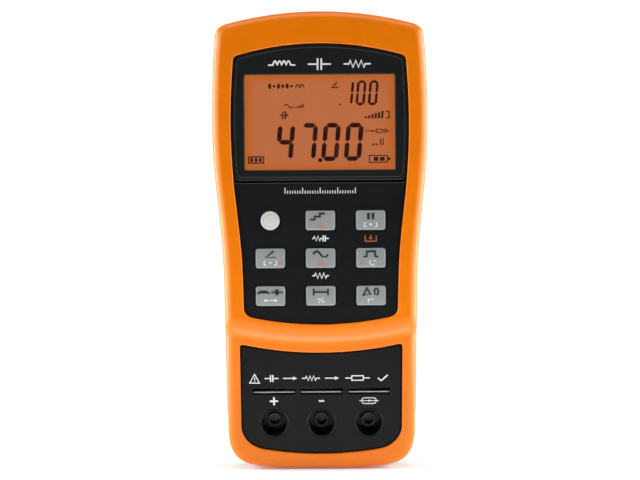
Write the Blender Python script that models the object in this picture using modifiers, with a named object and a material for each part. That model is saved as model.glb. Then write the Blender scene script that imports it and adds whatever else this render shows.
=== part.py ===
"""Hand-held LCR meter stood on its lower end: front to -Y, length along +Z, origin at the bottom centre."""

from math import asin, cos, pi, radians, sin, sqrt, tan

import bmesh
import bpy
from mathutils import Matrix, Vector
from mathutils.geometry import interpolate_bezier

MM = 0.001
GAP = 0.3 * MM                      # clearance between neighbouring pieces

# Case
LENGTH = 184 * MM
HALF_DEPTH = 20.5 * MM
SPLIT_Y = 3.5 * MM                  # plane where the two shells meet
SEAM = 0.6 * MM
WALL = 2.2 * MM
TOP_ARC_R = 145 * MM
TOP_CORNER_X = 37.4 * MM
TOP_CORNER_Z = 173.5 * MM
FOOT_ARC_R = 130 * MM
FOOT_FLAT_X = 9 * MM
FOOT_CORNER_X = 27 * MM
FOOT_CORNER_Z = 18 * MM
SIDE_KNOTS = (                      # (height, half width) down one side
    (182.0, 41.2), (173.5, 42.2), (159.0, 43.1), (143.0, 43.5), (126.0, 43.1), (112.0, 41.9),
    (98.0, 40.4), (84.0, 39.3), (68.0, 38.8), (44.0, 38.6), (18.0, 38.2), (2.0, 37.9),
)
EDGE_R = 3.8 * MM                   # rounding round the front
REAR_EDGE_R = 6 * MM                # rounding round the back
FRONT_DRAFT = 0.5 * MM
REAR_DRAFT = 1.2 * MM

# Step between the upper face and the terminal face
STEP_TOP_Z = 58.1 * MM
STEP_FOOT_Z = 49.6 * MM
STEP_ARC_R = 146 * MM
STEP_SLOPE = radians(60)
LOWER_FACE_Y = -15.6 * MM           # at STEP_FOOT_Z
LOWER_TILT = radians(5)

# Front panels
PANEL_RECESS = 1.1 * MM
FLANGE = 2.2 * MM
FLANGE_THICK = 1.2 * MM
UPPER_KNOTS = (                     # (height, half width) of the upper panel, down one side
    (163.0, 34.2), (152.0, 34.9), (140.0, 35.2), (127.0, 34.9), (114.5, 34.05), (104.0, 32.9),
    (94.0, 31.8), (84.0, 30.95), (68.0, 30.4), (60.0, 30.3),
)
UPPER_TOP_Z = 170.2 * MM
UPPER_TOP_R = 118 * MM
UPPER_FOOT_Z = 58.9 * MM
UPPER_FOOT_R = 134 * MM
GROOVE_Z = 115.5 * MM
LOWER_TOP_Z = 47.0 * MM
LOWER_TOP_R = 146 * MM
LOWER_FOOT_Z = 6.6 * MM
LOWER_FOOT_R = 136 * MM
LOWER_HALF_X = 32.2 * MM

# Display
WINDOW_X = 59.7 * MM
WINDOW_Z = 37.8 * MM
WINDOW_MID_Z = 139.1 * MM
WINDOW_THICK = 1.5 * MM
WINDOW_CORNER = 0.8 * MM
LCD_X = 65 * MM
LCD_Z = 44 * MM
LCD_THICK = 2.8 * MM
LCD_RIM = 2 * MM

# Keys
KEY_X = 11.7 * MM
KEY_Z = 7.8 * MM
KEY_PITCH_X = 20 * MM
KEY_PITCH_Z = 15 * MM
KEY_TOP_Z = 100 * MM
KEY_PROUD = 1 * MM
POWER_R = 3.75 * MM
KEY_LIP = 1 * MM
KEY_ROWS = ("upper", "middle", "lower")
KEY_COLUMNS = ("left", "centre", "right")

# Test jacks and lead slots, in the terminal panel's own plane
JACK_PITCH = 19.05 * MM
JACK_Z = 18.6 * MM
SHROUD_R = 4.95 * MM
SHROUD_WALL = 1.3 * MM
SHROUD_DEPTH = 16 * MM
POST_R = 2.85 * MM
POST_RECESS = 9 * MM
SOCKET_R = 2.05 * MM
SLOT_Z = 31.6 * MM
SLOT_X = 17 * MM
SLOT_H = 2.4 * MM
CONTACT_X = 16 * MM
TERMINAL_NAMES = ("plus", "minus", "guard")

# Main board
BOARD_Y = -8.6 * MM
BOARD_THICK = 1.6 * MM
BOARD_FOOT_Z = 40 * MM
BOARD_INSET = 4.2 * MM

# Fasteners
SCREW_SPOTS = {
    "case_screw_top_left": (-24 * MM, 173.6 * MM),
    "case_screw_top_right": (24 * MM, 173.6 * MM),
    "case_screw_low_left": (-31.6 * MM, 55.2 * MM),
    "case_screw_low_right": (31.6 * MM, 55.2 * MM),
}
SCREW_R = 1.4 * MM
SCREW_HEAD_R = 2.8 * MM
SCREW_TIP_Y = -12.6 * MM
SCREW_SEAT_Y = 9 * MM
BOSS_R = 3.3 * MM
REAR_BOSS_R = 4.2 * MM
CROSS_REACH = 0.62                  # arms of the cross recess, as a share of the head's radius
CROSS_WIDTH = 0.24                  # half width of an arm, as a share of its reach

# Battery bay in the rear case
BAY_X = 30 * MM
BAY_LOW_Z = 41.5 * MM
BAY_HIGH_Z = 96.5 * MM
BAY_FLOOR_Y = -0.4 * MM
BAY_WALL = 1.6 * MM
BATTERY = (26.5 * MM, 17.5 * MM, 46.0 * MM)
COVER_X = 42 * MM
COVER_LOW_Z = 33 * MM
COVER_HIGH_Z = 100 * MM
COVER_THICK = 2 * MM
COVER_LEDGE = 2 * MM
STUD_X = 6.35 * MM

# Tilt stand
STAND_X = 54 * MM
STAND_FOOT_Z = 106 * MM
STAND_HINGE_Z = 160 * MM
STAND_HINGE_Y = 17.6 * MM
STAND_THICK = 3 * MM
STAND_BARREL_R = 2.3 * MM
STAND_PIN_R = 1 * MM

PANEL_FRONT_Y = -HALF_DEPTH + PANEL_RECESS
FLANGE_Y = -HALF_DEPTH + WALL + GAP
PANEL_BACK_Y = FLANGE_Y + FLANGE_THICK
WINDOW_LAP = 1.2 * MM
WINDOW_Y = PANEL_BACK_Y - WINDOW_THICK
LCD_Y = PANEL_BACK_Y + 0.4 * MM
KEY_BACK_Y = -13.8 * MM
DOME_Y = -12.2 * MM
MAT_Y = -9.9 * MM
MAT_X = 52 * MM
MAT_LOW_Z = 65.4 * MM
MAT_HIGH_Z = 105.4 * MM
POST_SPOTS_X = (-10.5 * MM, 10.5 * MM)
BOARD_POST_Z = 62.6 * MM
TERMINAL_FLANGE_Y = WALL + GAP - PANEL_RECESS
TERMINAL_BOARD_Y = 18.1 * MM
TAIL_R = 1.2 * MM
RIBBON_PATH = (                     # (y, z) down the ribbon
    (-6.5 * MM, 43 * MM), (-5.9 * MM, 40.5 * MM), (-4 * MM, 38.6 * MM), (-0.5 * MM, 37.6 * MM),
    (2.6 * MM, 36.6 * MM), (4.1 * MM, 34.8 * MM), (4.5 * MM, 32.4 * MM),
)
RIBBON_X = (7.4 * MM, 11.6 * MM)
RIBBON_THICK = 0.3 * MM
INLET_Y = -2.3 * MM
INLET_Z = 45.5 * MM
INLET_HALF = 4.3 * MM
INLET_HOLE_R = 4.3 * MM
INLET_BORE_R = 2.8 * MM
INLET_PIN_R = 1 * MM
COVER_SCREW_Z = 36.6 * MM
SNAP_THICK = 3.6 * MM
LEAD_R = 0.7 * MM
LINK_Z = 171.8 * MM
LINK_WINDOW_Y = 19.1 * MM
LINK_X = 7 * MM
LINK_HALF_Z = 2.6 * MM
LINK_HOLDER_Y = 10 * MM
INNER_Y = HALF_DEPTH - WALL         # inner side of the rear case
BOARD_BACK_Y = BOARD_Y + BOARD_THICK + GAP

X_AXIS, Y_AXIS, Z_AXIS = (1, 0, 0), (0, 1, 0), (0, 0, 1)
ROUND, FEWER, FEW = 24, 16, 12      # sides of round pieces, by size


# ---------------------------------------------------------------- scene and materials

for old in list(bpy.data.objects):
    bpy.data.objects.remove(old)

parts = bpy.data.collections.new("lcr_meter")
cutters = bpy.data.collections.new("cutters")
bpy.context.scene.collection.children.link(parts)
bpy.context.scene.collection.children.link(cutters)


def make_material(name, colour, roughness, metallic=0.0, alpha=1.0):
    material = bpy.data.materials.new(name)
    material.use_nodes = True
    shader = material.node_tree.nodes["Principled BSDF"]
    shader.inputs["Base Color"].default_value = (*colour, 1)
    shader.inputs["Roughness"].default_value = roughness
    shader.inputs["Metallic"].default_value = metallic
    shader.inputs["Alpha"].default_value = alpha
    return material


ORANGE = make_material("case_orange", (0.80, 0.19, 0.01), 0.4)
REAR_GREY = make_material("case_grey", (0.025, 0.027, 0.03), 0.5)
PANEL = make_material("panel_charcoal", (0.016, 0.018, 0.02), 0.45)
CLEAR = make_material("window_clear", (0.9, 0.9, 0.9), 0.05, alpha=0.3)
LCD = make_material("lcd_amber", (0.5, 0.14, 0.04), 0.15)
KEYS = make_material("key_grey", (0.33, 0.35, 0.35), 0.45)
WHITE = make_material("key_white", (0.65, 0.66, 0.65), 0.4)
SILICONE = make_material("silicone_grey", (0.3, 0.3, 0.32), 0.7)
BOARD = make_material("board_green", (0.02, 0.12, 0.05), 0.5)
BLACK = make_material("moulded_black", (0.012, 0.012, 0.013), 0.5)
METAL = make_material("nickel", (0.6, 0.6, 0.58), 0.3, 1.0)
BRASS = make_material("brass", (0.7, 0.5, 0.2), 0.3, 1.0)
STEEL = make_material("zinc_steel", (0.5, 0.5, 0.52), 0.35, 1.0)
DIFFUSER = make_material("backlight_white", (0.8, 0.8, 0.78), 0.4)
CELL = make_material("battery_jacket", (0.05, 0.09, 0.2), 0.35)
RED = make_material("lead_red", (0.5, 0.02, 0.02), 0.5)


# ---------------------------------------------------------------- mesh helpers

def put(bm, name, material, collection=None):
    """Make an object from a bmesh, with outward faces."""
    bmesh.ops.recalc_face_normals(bm, faces=bm.faces)
    mesh = bpy.data.meshes.new(name)
    bm.to_mesh(mesh)
    bm.free()
    piece = bpy.data.objects.new(name, mesh)
    (collection or parts).objects.link(piece)
    if material:
        mesh.materials.append(material)
    if collection is cutters:
        piece.hide_render = True
        piece.display_type = "WIRE"
    return piece


def add_box(bm, low, high, frame=Matrix()):
    size = Vector(high) - Vector(low)
    middle = (Vector(high) + Vector(low)) / 2
    matrix = frame @ Matrix.Translation(middle) @ Matrix.Diagonal((*size, 1))
    bmesh.ops.create_cube(bm, size=1, matrix=matrix)


def box(name, low, high, material, bevel=0.0, collection=None):
    bm = bmesh.new()
    add_box(bm, low, high)
    if bevel:
        bmesh.ops.bevel(bm, geom=bm.edges[:], offset=bevel, segments=1, affect="EDGES")
    return put(bm, name, material, collection)


def add_rod(bm, start, axis, length, radius, sides=ROUND, end_radius=None):
    """A cylinder, or a cone with end_radius, from start along axis."""
    axis = Vector(axis).normalized()
    turn = axis.to_track_quat("Z", "Y").to_matrix().to_4x4()
    matrix = Matrix.Translation(Vector(start) + axis * length / 2) @ turn
    last = radius if end_radius is None else end_radius
    bmesh.ops.create_cone(
        bm, cap_ends=True, segments=sides, radius1=radius, radius2=last, depth=length, matrix=matrix
    )


def rod(name, start, axis, length, radius, material, sides=ROUND, collection=None):
    bm = bmesh.new()
    add_rod(bm, start, axis, length, radius, sides)
    return put(bm, name, material, collection)


def stack(name, rings, material, collection=None, frame=Matrix()):
    """A closed solid through a list of matching rings, each (points in x and z, y)."""
    bm = bmesh.new()
    loops = [[bm.verts.new(frame @ Vector((x, y, z))) for x, z in ring] for ring, y in rings]
    for low, high in zip(loops, loops[1:]):
        for i, first in enumerate(low):
            j = (i + 1) % len(low)
            bm.faces.new((first, low[j], high[j], high[i]))
    bm.faces.new(loops[0])
    bm.faces.new(loops[-1])
    return put(bm, name, material, collection)


def turned(name, profile, material, frame=Matrix(), sides=ROUND):
    """A Screw-turned solid about +Y, from a profile of (radius, depth) that starts and ends on the axis."""
    bm = bmesh.new()
    points = [bm.verts.new((radius, depth, 0)) for radius, depth in reversed(profile)]
    for first, second in zip(points, points[1:]):
        bm.edges.new((first, second))
    mesh = bpy.data.meshes.new(name)
    bm.to_mesh(mesh)
    bm.free()
    mesh.materials.append(material)
    piece = bpy.data.objects.new(name, mesh)
    parts.objects.link(piece)
    piece.matrix_world = frame
    screw = piece.modifiers.new("turn", "SCREW")
    screw.axis = "Y"
    screw.steps = sides
    screw.render_steps = sides
    screw.use_merge_vertices = True
    screw.merge_threshold = 0.01 * MM
    screw.use_normal_calculate = True
    screw.use_normal_flip = True
    return piece


def boolean(piece, tool, operation="DIFFERENCE"):
    step = piece.modifiers.new(tool.name, "BOOLEAN")
    step.operation = operation
    step.object = tool
    step.solver = "EXACT"


def join_rod(piece, name, start, axis, length, radius, sides=ROUND):
    boolean(piece, rod(name, start, axis, length, radius, None, sides, cutters), "UNION")


def drill(piece, name, start, axis, length, radius, sides=ROUND):
    boolean(piece, rod(name, start, axis, length, radius, None, sides, cutters))


def join_box(piece, name, low, high):
    boolean(piece, box(name, low, high, None, collection=cutters), "UNION")


def cut_box(piece, name, low, high):
    boolean(piece, box(name, low, high, None, collection=cutters))


def cut_outline(piece, name, outline, low_y, high_y, frame=Matrix()):
    """Cut an outline's prism, from one depth to another in the frame."""
    boolean(piece, stack(name, [(outline, low_y), (outline, high_y)], None, cutters, frame))


def smooth(piece, angle=35):
    piece.data.shade_smooth()
    piece.data.set_sharp_from_angle(angle=radians(angle))


# ---------------------------------------------------------------- outlines, as (x, z) points

def spline(knots, height):
    """Half width at a height, smoothly through (height, width) knots in millimetres, from the top down."""
    z = height / MM
    i = next((k for k in range(len(knots) - 1) if z >= knots[k + 1][0]), len(knots) - 2)
    before, after = knots[max(i - 1, 0)], knots[min(i + 2, len(knots) - 1)]
    low, high = knots[i], knots[i + 1]
    span = high[0] - low[0]
    t = (z - low[0]) / span
    slope_low = (high[1] - before[1]) / (high[0] - before[0]) * span
    slope_high = (after[1] - low[1]) / (after[0] - low[0]) * span
    width = (
        (2 * t**3 - 3 * t**2 + 1) * low[1] + (t**3 - 2 * t**2 + t) * slope_low
        + (3 * t**2 - 2 * t**3) * high[1] + (t**3 - t**2) * slope_high
    )
    return width * MM


def corner(start, start_dir, end, end_dir, count):
    """Points between start and end on a Bezier corner that leaves and arrives along the given directions."""
    reach = 0.55 * max(abs(end[0] - start[0]), abs(end[1] - start[1]))
    first, last = Vector((*start, 0)), Vector((*end, 0))
    handle = first + Vector((*start_dir, 0)).normalized() * reach
    other = last - Vector((*end_dir, 0)).normalized() * reach
    return [(p.x, p.y) for p in interpolate_bezier(first, handle, other, last, count + 2)[1:-1]]


def top_z(x, inset):
    return LENGTH - TOP_ARC_R + sqrt((TOP_ARC_R - inset) ** 2 - x**2)


def foot_z(x, inset):
    """The lower end: flat in the middle, an arc on both sides of it."""
    reach = max(abs(x) - FOOT_FLAT_X, 0)
    return FOOT_ARC_R - sqrt(FOOT_ARC_R**2 - reach**2) + inset


def case_half(inset, above, shares=(), below=()):
    """Right half of the case outline: its top, side and foot, each a list of points that share their ends."""
    def side_x(z):
        return spline(SIDE_KNOTS, z) - inset

    corner_x = TOP_CORNER_X - 0.75 * inset
    arc = [(corner_x * k / 5, top_z(corner_x * k / 5, inset)) for k in range(6)]
    side_top = (side_x(TOP_CORNER_Z), TOP_CORNER_Z - 0.5 * inset)
    bend = corner(arc[-1], (1, -0.27), side_top, (0, -1), 3)
    foot_x = FOOT_CORNER_X - 0.3 * inset
    side_foot = (side_x(FOOT_CORNER_Z), FOOT_CORNER_Z)
    curl = corner(side_foot, (0, -1), (foot_x, foot_z(foot_x, inset)), (-1, -0.14), 5)
    step_x = side_x(STEP_TOP_Z)
    heights = list(above) + [step_z(share, step_x) for share in shares] + list(below)
    side = [(side_x(z), z) for z in heights]
    runs = [FOOT_FLAT_X + (foot_x - FOOT_FLAT_X) * share for share in (1, 0.67, 0.33, 0)] + [0]
    sole = [(x, foot_z(x, inset)) for x in runs]
    top = arc + bend[:2]
    right = [bend[1], bend[2], side_top] + side + [side_foot] + curl[:3]
    foot = curl[2:] + sole
    return top, right, foot


def mirrored(half):
    """Close an outline from its right half, which runs from the top centre to the foot centre."""
    return half + [(-x, z) for x, z in reversed(half[1:-1])]


def upper_half(inset):
    """Right half of the upper panel's outline."""
    def top(x):
        return UPPER_TOP_Z - UPPER_TOP_R + sqrt((UPPER_TOP_R - inset) ** 2 - x**2)

    def foot(x):
        return UPPER_FOOT_Z + UPPER_FOOT_R - sqrt((UPPER_FOOT_R - inset) ** 2 - x**2)

    heights = [z * MM for z, _ in UPPER_KNOTS[1:-1]]
    top_x, foot_x = 32.2 * MM - inset, 26.2 * MM - inset
    arc = [(top_x * k / 4, top(top_x * k / 4)) for k in range(5)]
    side_top = (spline(UPPER_KNOTS, 162.6 * MM) - inset, 162.6 * MM)
    side_foot = (spline(UPPER_KNOTS, 65.2 * MM) - inset, 65.2 * MM)
    sole = [(foot_x * k / 4, foot(foot_x * k / 4)) for k in (4, 3, 2, 1, 0)]
    return (
        arc + corner(arc[-1], (1, -0.28), side_top, (0, -1), 2) + [side_top]
        + [(spline(UPPER_KNOTS, z) - inset, z) for z in heights]
        + [side_foot] + corner(side_foot, (0, -1), sole[0], (-1, -0.2), 3) + sole
    )


def lower_half(inset):
    """Right half of the terminal panel's outline: a dipped top, straight sides and round lower corners."""
    def top(x):
        return LOWER_TOP_Z + LOWER_TOP_R - sqrt(LOWER_TOP_R**2 - x**2) - inset

    def foot(x):
        return LOWER_FOOT_Z + LOWER_FOOT_R - sqrt(LOWER_FOOT_R**2 - x**2) + inset

    side_x = LOWER_HALF_X - inset
    top_x, foot_x = side_x - 1.6 * MM, 22.5 * MM - inset / 2
    arc = [(top_x * k / 4, top(top_x * k / 4)) for k in range(5)]
    side_top, side_foot = (side_x, top(side_x) - 1.4 * MM), (side_x - 0.3 * MM, 17.8 * MM)
    sole = [(foot_x * k / 3, foot(foot_x * k / 3)) for k in (3, 2, 1, 0)]
    return (
        arc + corner(arc[-1], (1, 0.2), side_top, (0, -1), 2) + [side_top, side_foot]
        + corner(side_foot, (0, -1), sole[0], (-1, -0.17), 5) + sole
    )


def rounded_box(half_x, half_z, radius, middle=(0, 0), steps=3):
    points = []
    for quarter, (sign_x, sign_z) in enumerate(((1, 1), (-1, 1), (-1, -1), (1, -1))):
        for k in range(steps + 1):
            angle = pi / 2 * (quarter + k / steps)
            points.append((
                middle[0] + sign_x * (half_x - radius) + radius * cos(angle),
                middle[1] + sign_z * (half_z - radius) + radius * sin(angle),
            ))
    return points


def circle(radius, middle=(0, 0), sides=ROUND):
    return [
        (middle[0] + radius * cos(2 * pi * k / sides), middle[1] + radius * sin(2 * pi * k / sides))
        for k in range(sides)
    ]


# ---------------------------------------------------------------- the case's front face

def lower_face(z):
    return LOWER_FACE_Y + (STEP_FOOT_Z - z) * tan(LOWER_TILT)


def step_z(share, x):
    """Height of the step's surface at a share of the way down it."""
    height = STEP_TOP_Z + (STEP_FOOT_Z - STEP_TOP_Z) * share
    return height + x**2 / (2 * STEP_ARC_R)


def front_face(x, z):
    """Depth of the front face: flat above, a rounded step, and a tilted face below it."""
    foot = step_z(1, x)
    share = (step_z(0, x) - z) / (STEP_TOP_Z - STEP_FOOT_Z)
    if share <= 0:
        return -HALF_DEPTH
    if share >= 1:
        return lower_face(z)
    turn = asin(share * sin(STEP_SLOPE))
    drop = (1 - cos(turn)) / (1 - cos(STEP_SLOPE))
    return -HALF_DEPTH + (lower_face(foot) + HALF_DEPTH) * drop


FRONT_ROWS = (
    [z * MM for z in (164, 152, 140, 126, 112, 98, 84, 72)],
    (0, 0.3, 0.55, 0.8, 1),
    [z * MM for z in (44, 32)],
)
REAR_ROWS = ([z * MM for z in (158, 143, 126, 112, 98, 84, 60, 36)],)


def shell_skin(rows, base_y, facing, draft, edge_r, face):
    """Open right half of a shell's outer surface, from its base plane round the edge to the face's rim."""
    bm = bmesh.new()
    loops = [(case_half(0, *rows), None)]
    for k in range(5):
        turn = k / 4 * pi / 2
        drop = edge_r * (1 - sin(turn)) * facing
        loops.append((case_half(draft + edge_r * (1 - cos(turn)), *rows), drop))
    rings = []
    for (top, right, foot), drop in loops:
        outline = top + right[1:] + foot[1:]
        depths = [base_y if drop is None else face(x, z) - drop for x, z in outline]
        rings.append([bm.verts.new((x, y, z)) for (x, z), y in zip(outline, depths)])
    for low, high in zip(rings, rings[1:]):
        for i in range(len(low) - 1):
            bm.faces.new((low[i], low[i + 1], high[i + 1], high[i]))
    fill_face(bm, rings[-1], loops[-1][0], face)
    return bm


def fill_face(bm, loop, half, face):
    """Rows across the face between the loop's top, side and foot, which follow the curve of both ends."""
    top, right, _ = half
    columns = len(top) - 1
    rows = [loop[: columns + 1]]
    for j, (side_x, side_z) in enumerate(right[1:-1], start=1):
        middle = min(max((side_z - STEP_FOOT_Z) / (LENGTH - STEP_FOOT_Z), 0), 1)
        bend = 1 / (2 * STEP_ARC_R) * (1 - 2.2 * middle)
        if side_z < step_z(0, side_x) + 0.1 * MM:
            bend = 1 / (2 * STEP_ARC_R)
        row = []
        for k in range(columns):
            x = side_x * k / columns
            z = side_z - bend * (side_x**2 - x**2)
            row.append(bm.verts.new((x, face(x, z), z)))
        rows.append(row + [loop[columns + j]])
    rows.append(list(reversed(loop[columns + len(right) - 1:])))
    for upper, lower in zip(rows, rows[1:]):
        for k in range(columns):
            bm.faces.new((upper[k], upper[k + 1], lower[k + 1], lower[k]))


def rear_face(*_):
    return HALF_DEPTH


def shell(name, material, rows, base_y, facing, draft, edge_r, face):
    """A case shell: the half skin mirrored, then given its wall on the inner side."""
    piece = put(shell_skin(rows, base_y, facing, draft, edge_r, face), name, material)
    mirror = piece.modifiers.new("mirror", "MIRROR")
    mirror.use_clip = True
    mirror.merge_threshold = 0.01 * MM
    wall = piece.modifiers.new("wall", "SOLIDIFY")
    wall.thickness = WALL
    wall.offset = -1
    wall.use_even_offset = True
    return piece


# ---------------------------------------------------------------- case shells

def terminal_plane():
    """The terminal panel's frame: +Y runs into the case, square to the lower face; z runs up its slope."""
    turn = Matrix.Rotation(LOWER_TILT, 4, "X")
    origin = Vector((0, lower_face(JACK_Z) + PANEL_RECESS, JACK_Z))
    return Matrix.Translation(origin) @ turn @ Matrix.Translation((0, 0, -JACK_Z))


TERMINAL_FRAME = terminal_plane()


def front_case():
    """Front shell with two panel openings, bosses that the case screws bite into and the inlet hole."""
    piece = shell("front_case", ORANGE, FRONT_ROWS, SPLIT_Y, -1, FRONT_DRAFT, EDGE_R, front_face)
    for name, (x, z) in SCREW_SPOTS.items():
        root = front_face(x, z - BOSS_R) + 1 * MM
        join_rod(piece, "boss_" + name, (x, root, z), Y_AXIS, BOARD_Y - GAP - root, BOSS_R, FEWER)
    reach = 5 * MM
    upper_frame = Matrix.Translation((0, -HALF_DEPTH, 0))
    cut_outline(piece, "upper_opening", mirrored(upper_half(-GAP)), -reach, reach, upper_frame)
    cut_outline(piece, "lower_opening", mirrored(lower_half(-GAP)), -reach, reach, TERMINAL_FRAME)
    for name, (x, z) in SCREW_SPOTS.items():
        drill(piece, "pilot_" + name, (x, SCREW_TIP_Y - GAP, z), Y_AXIS, 20 * MM, SCREW_R + 0.2 * MM, FEW)
    drill(piece, "inlet_hole", (30 * MM, INLET_Y, INLET_Z), X_AXIS, 15 * MM, INLET_HOLE_R)
    return piece


def rear_case():
    """Rear shell with the battery bay, the stand's recess, the screw holes and the link window's seat."""
    piece = shell("rear_case", REAR_GREY, REAR_ROWS, SPLIT_Y + SEAM, 1, REAR_DRAFT, REAR_EDGE_R, rear_face)
    for name, (x, z) in SCREW_SPOTS.items():
        join_rod(piece, "rear_boss_" + name, (x, BOARD_BACK_Y, z), Y_AXIS, 26 * MM, REAR_BOSS_R, FEWER)
    battery_bay(piece)
    stand_recess(piece)
    for name, (x, z) in SCREW_SPOTS.items():
        drill(piece, "shank_" + name, (x, BOARD_Y, z), Y_AXIS, 20 * MM, SCREW_R + GAP, FEW)
        drill(piece, "head_" + name, (x, SCREW_SEAT_Y, z), Y_AXIS, 14 * MM, SCREW_HEAD_R + GAP, FEWER)
    seat = rounded_box(LINK_X + GAP, LINK_HALF_Z + GAP, 1.5 * MM, (0, LINK_Z), 2)
    sight = rounded_box(LINK_X - 1 * MM, LINK_HALF_Z - 0.9 * MM, 1 * MM, (0, LINK_Z), 2)
    cut_outline(piece, "link_seat", seat, LINK_WINDOW_Y - GAP, 25 * MM)
    cut_outline(piece, "link_sight", sight, 15 * MM, 26 * MM)


def battery_bay(piece):
    """Walls round the bay, a ledge that the cover lies on, the cover's seat and its screw's insert."""
    wall_x, bay_x = BAY_X / 2 + BAY_WALL, BAY_X / 2
    ledge_x, seat_x = COVER_X / 2 + COVER_LEDGE, COVER_X / 2 + GAP
    join_box(piece, "bay_walls", (-wall_x, BAY_FLOOR_Y - BAY_WALL, BAY_LOW_Z - BAY_WALL),
             (wall_x, INNER_Y + 0.5 * MM, BAY_HIGH_Z + BAY_WALL))
    join_box(piece, "cover_ledge", (-ledge_x, INNER_Y - 1.6 * MM, COVER_LOW_Z - COVER_LEDGE),
             (ledge_x, INNER_Y + 0.4 * MM, COVER_HIGH_Z + COVER_LEDGE))
    join_rod(piece, "cover_boss", (0, 10 * MM, COVER_SCREW_Z), Y_AXIS, 8 * MM, 3 * MM, FEWER)
    cut_box(piece, "cover_seat", (-seat_x, HALF_DEPTH - COVER_THICK - GAP, COVER_LOW_Z - GAP),
            (seat_x, HALF_DEPTH + 1.2 * MM, COVER_HIGH_Z + GAP))
    cut_box(piece, "bay", (-bay_x, BAY_FLOOR_Y, BAY_LOW_Z), (bay_x, HALF_DEPTH + 1.3 * MM, BAY_HIGH_Z))
    cut_box(piece, "lead_notch", (-4 * MM, 1.5 * MM, BAY_HIGH_Z - 1 * MM),
            (4 * MM, 5.5 * MM, BAY_HIGH_Z + 3 * MM))
    drill(piece, "cover_insert", (0, HALF_DEPTH - 8 * MM, COVER_SCREW_Z), Y_AXIS, 9 * MM, 1.3 * MM, FEW)


def stand_recess(piece):
    """A pan that holds the stand, deeper round its hinge, with a finger notch below and holes for the pin."""
    pan_x, recess_x = STAND_X / 2 + 3.5 * MM, STAND_X / 2 + 0.5 * MM
    hinge_y = STAND_HINGE_Y - STAND_BARREL_R - 0.4 * MM
    join_box(piece, "stand_pan", (-pan_x, INNER_Y - 2.8 * MM, STAND_FOOT_Z - 3 * MM),
             (pan_x, INNER_Y + 0.45 * MM, STAND_HINGE_Z + 5.6 * MM))
    cut_box(piece, "stand_recess", (-recess_x, HALF_DEPTH - STAND_THICK - 0.6 * MM, STAND_FOOT_Z - 0.5 * MM),
            (recess_x, HALF_DEPTH + 1 * MM, STAND_HINGE_Z + 3.4 * MM))
    cut_box(piece, "hinge_recess", (-recess_x, hinge_y, STAND_HINGE_Z - 3.6 * MM),
            (recess_x, HALF_DEPTH + 0.9 * MM, STAND_HINGE_Z + 3.3 * MM))
    cut_box(piece, "finger_notch", (-9 * MM, HALF_DEPTH - 2.6 * MM, STAND_FOOT_Z - 4 * MM),
            (9 * MM, HALF_DEPTH + 1.1 * MM, STAND_FOOT_Z + 1 * MM))
    drill(piece, "pin_hole", (-recess_x - 2 * MM, STAND_HINGE_Y, STAND_HINGE_Z), X_AXIS,
          2 * recess_x + 4 * MM, STAND_PIN_R + 0.2 * MM, FEWER)


# ---------------------------------------------------------------- front panels and window

def stepped_panel(name, half, plate_y, flange_y, flange_x, frame=Matrix()):
    """A plate that fills its opening, with a wider flange behind the case wall."""
    plate, flange = mirrored(half(0)), mirrored(half(-flange_x))
    rings = [(plate, plate_y), (plate, flange_y), (flange, flange_y), (flange, flange_y + FLANGE_THICK)]
    return stack(name, rings, PANEL, frame=frame)


def display_bezel():
    piece = stepped_panel("display_bezel", upper_half, PANEL_FRONT_Y, FLANGE_Y, FLANGE)
    cut_box(piece, "below_groove", (-60 * MM, -30 * MM, 40 * MM), (60 * MM, 0, GROOVE_Z + GAP / 2))
    middle = (0, WINDOW_MID_Z)
    sight = rounded_box(WINDOW_X / 2, WINDOW_Z / 2, WINDOW_CORNER, middle)
    lap = WINDOW_LAP + GAP
    seat = rounded_box(WINDOW_X / 2 + lap, WINDOW_Z / 2 + lap, WINDOW_CORNER, middle)
    cut_outline(piece, "sight", sight, -25 * MM, -14 * MM)
    cut_outline(piece, "window_seat", seat, WINDOW_Y - GAP, -13 * MM)


def display_window():
    half_x, half_z = WINDOW_X / 2 + WINDOW_LAP, WINDOW_Z / 2 + WINDOW_LAP
    outline = rounded_box(half_x, half_z, WINDOW_CORNER, (0, WINDOW_MID_Z))
    stack("display_window", [(outline, WINDOW_Y), (outline, PANEL_BACK_Y)], CLEAR)


def key_spots():
    """(name, x, z, is the round power button) for the nine keys."""
    for i, row in enumerate(KEY_ROWS):
        for j, column in enumerate(KEY_COLUMNS):
            power = i == 0 and j == 0
            name = "power_button" if power else f"key_{row}_{column}"
            yield name, (j - 1) * KEY_PITCH_X, KEY_TOP_Z - i * KEY_PITCH_Z, power


def key_outline(x, z, power, grow):
    if power:
        return circle(POWER_R + grow, (x, z))
    return rounded_box(KEY_X / 2 + grow, KEY_Z / 2 + grow, 0.8 * MM + max(grow, -0.4 * MM) / 2, (x, z), 2)


def keypad_panel():
    """Lower part of the upper panel, with two posts for the board and a hole for each key."""
    piece = stepped_panel("keypad_panel", upper_half, PANEL_FRONT_Y, FLANGE_Y, FLANGE)
    cut_box(piece, "above_groove", (-60 * MM, -30 * MM, GROOVE_Z - GAP / 2), (60 * MM, 0, 200 * MM))
    for x in POST_SPOTS_X:
        root = PANEL_BACK_Y - 0.5 * MM
        join_rod(piece, "board_post", (x, root, BOARD_POST_Z), Y_AXIS, BOARD_Y - GAP - root, 2 * MM, FEW)
        drill(piece, "post_pilot", (x, PANEL_BACK_Y + 2 * MM, BOARD_POST_Z), Y_AXIS, 12 * MM, 1 * MM, 8)
    for name, x, z, power in key_spots():
        cut_outline(piece, "hole_" + name, key_outline(x, z, power, GAP), -25 * MM, -13 * MM)


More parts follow.
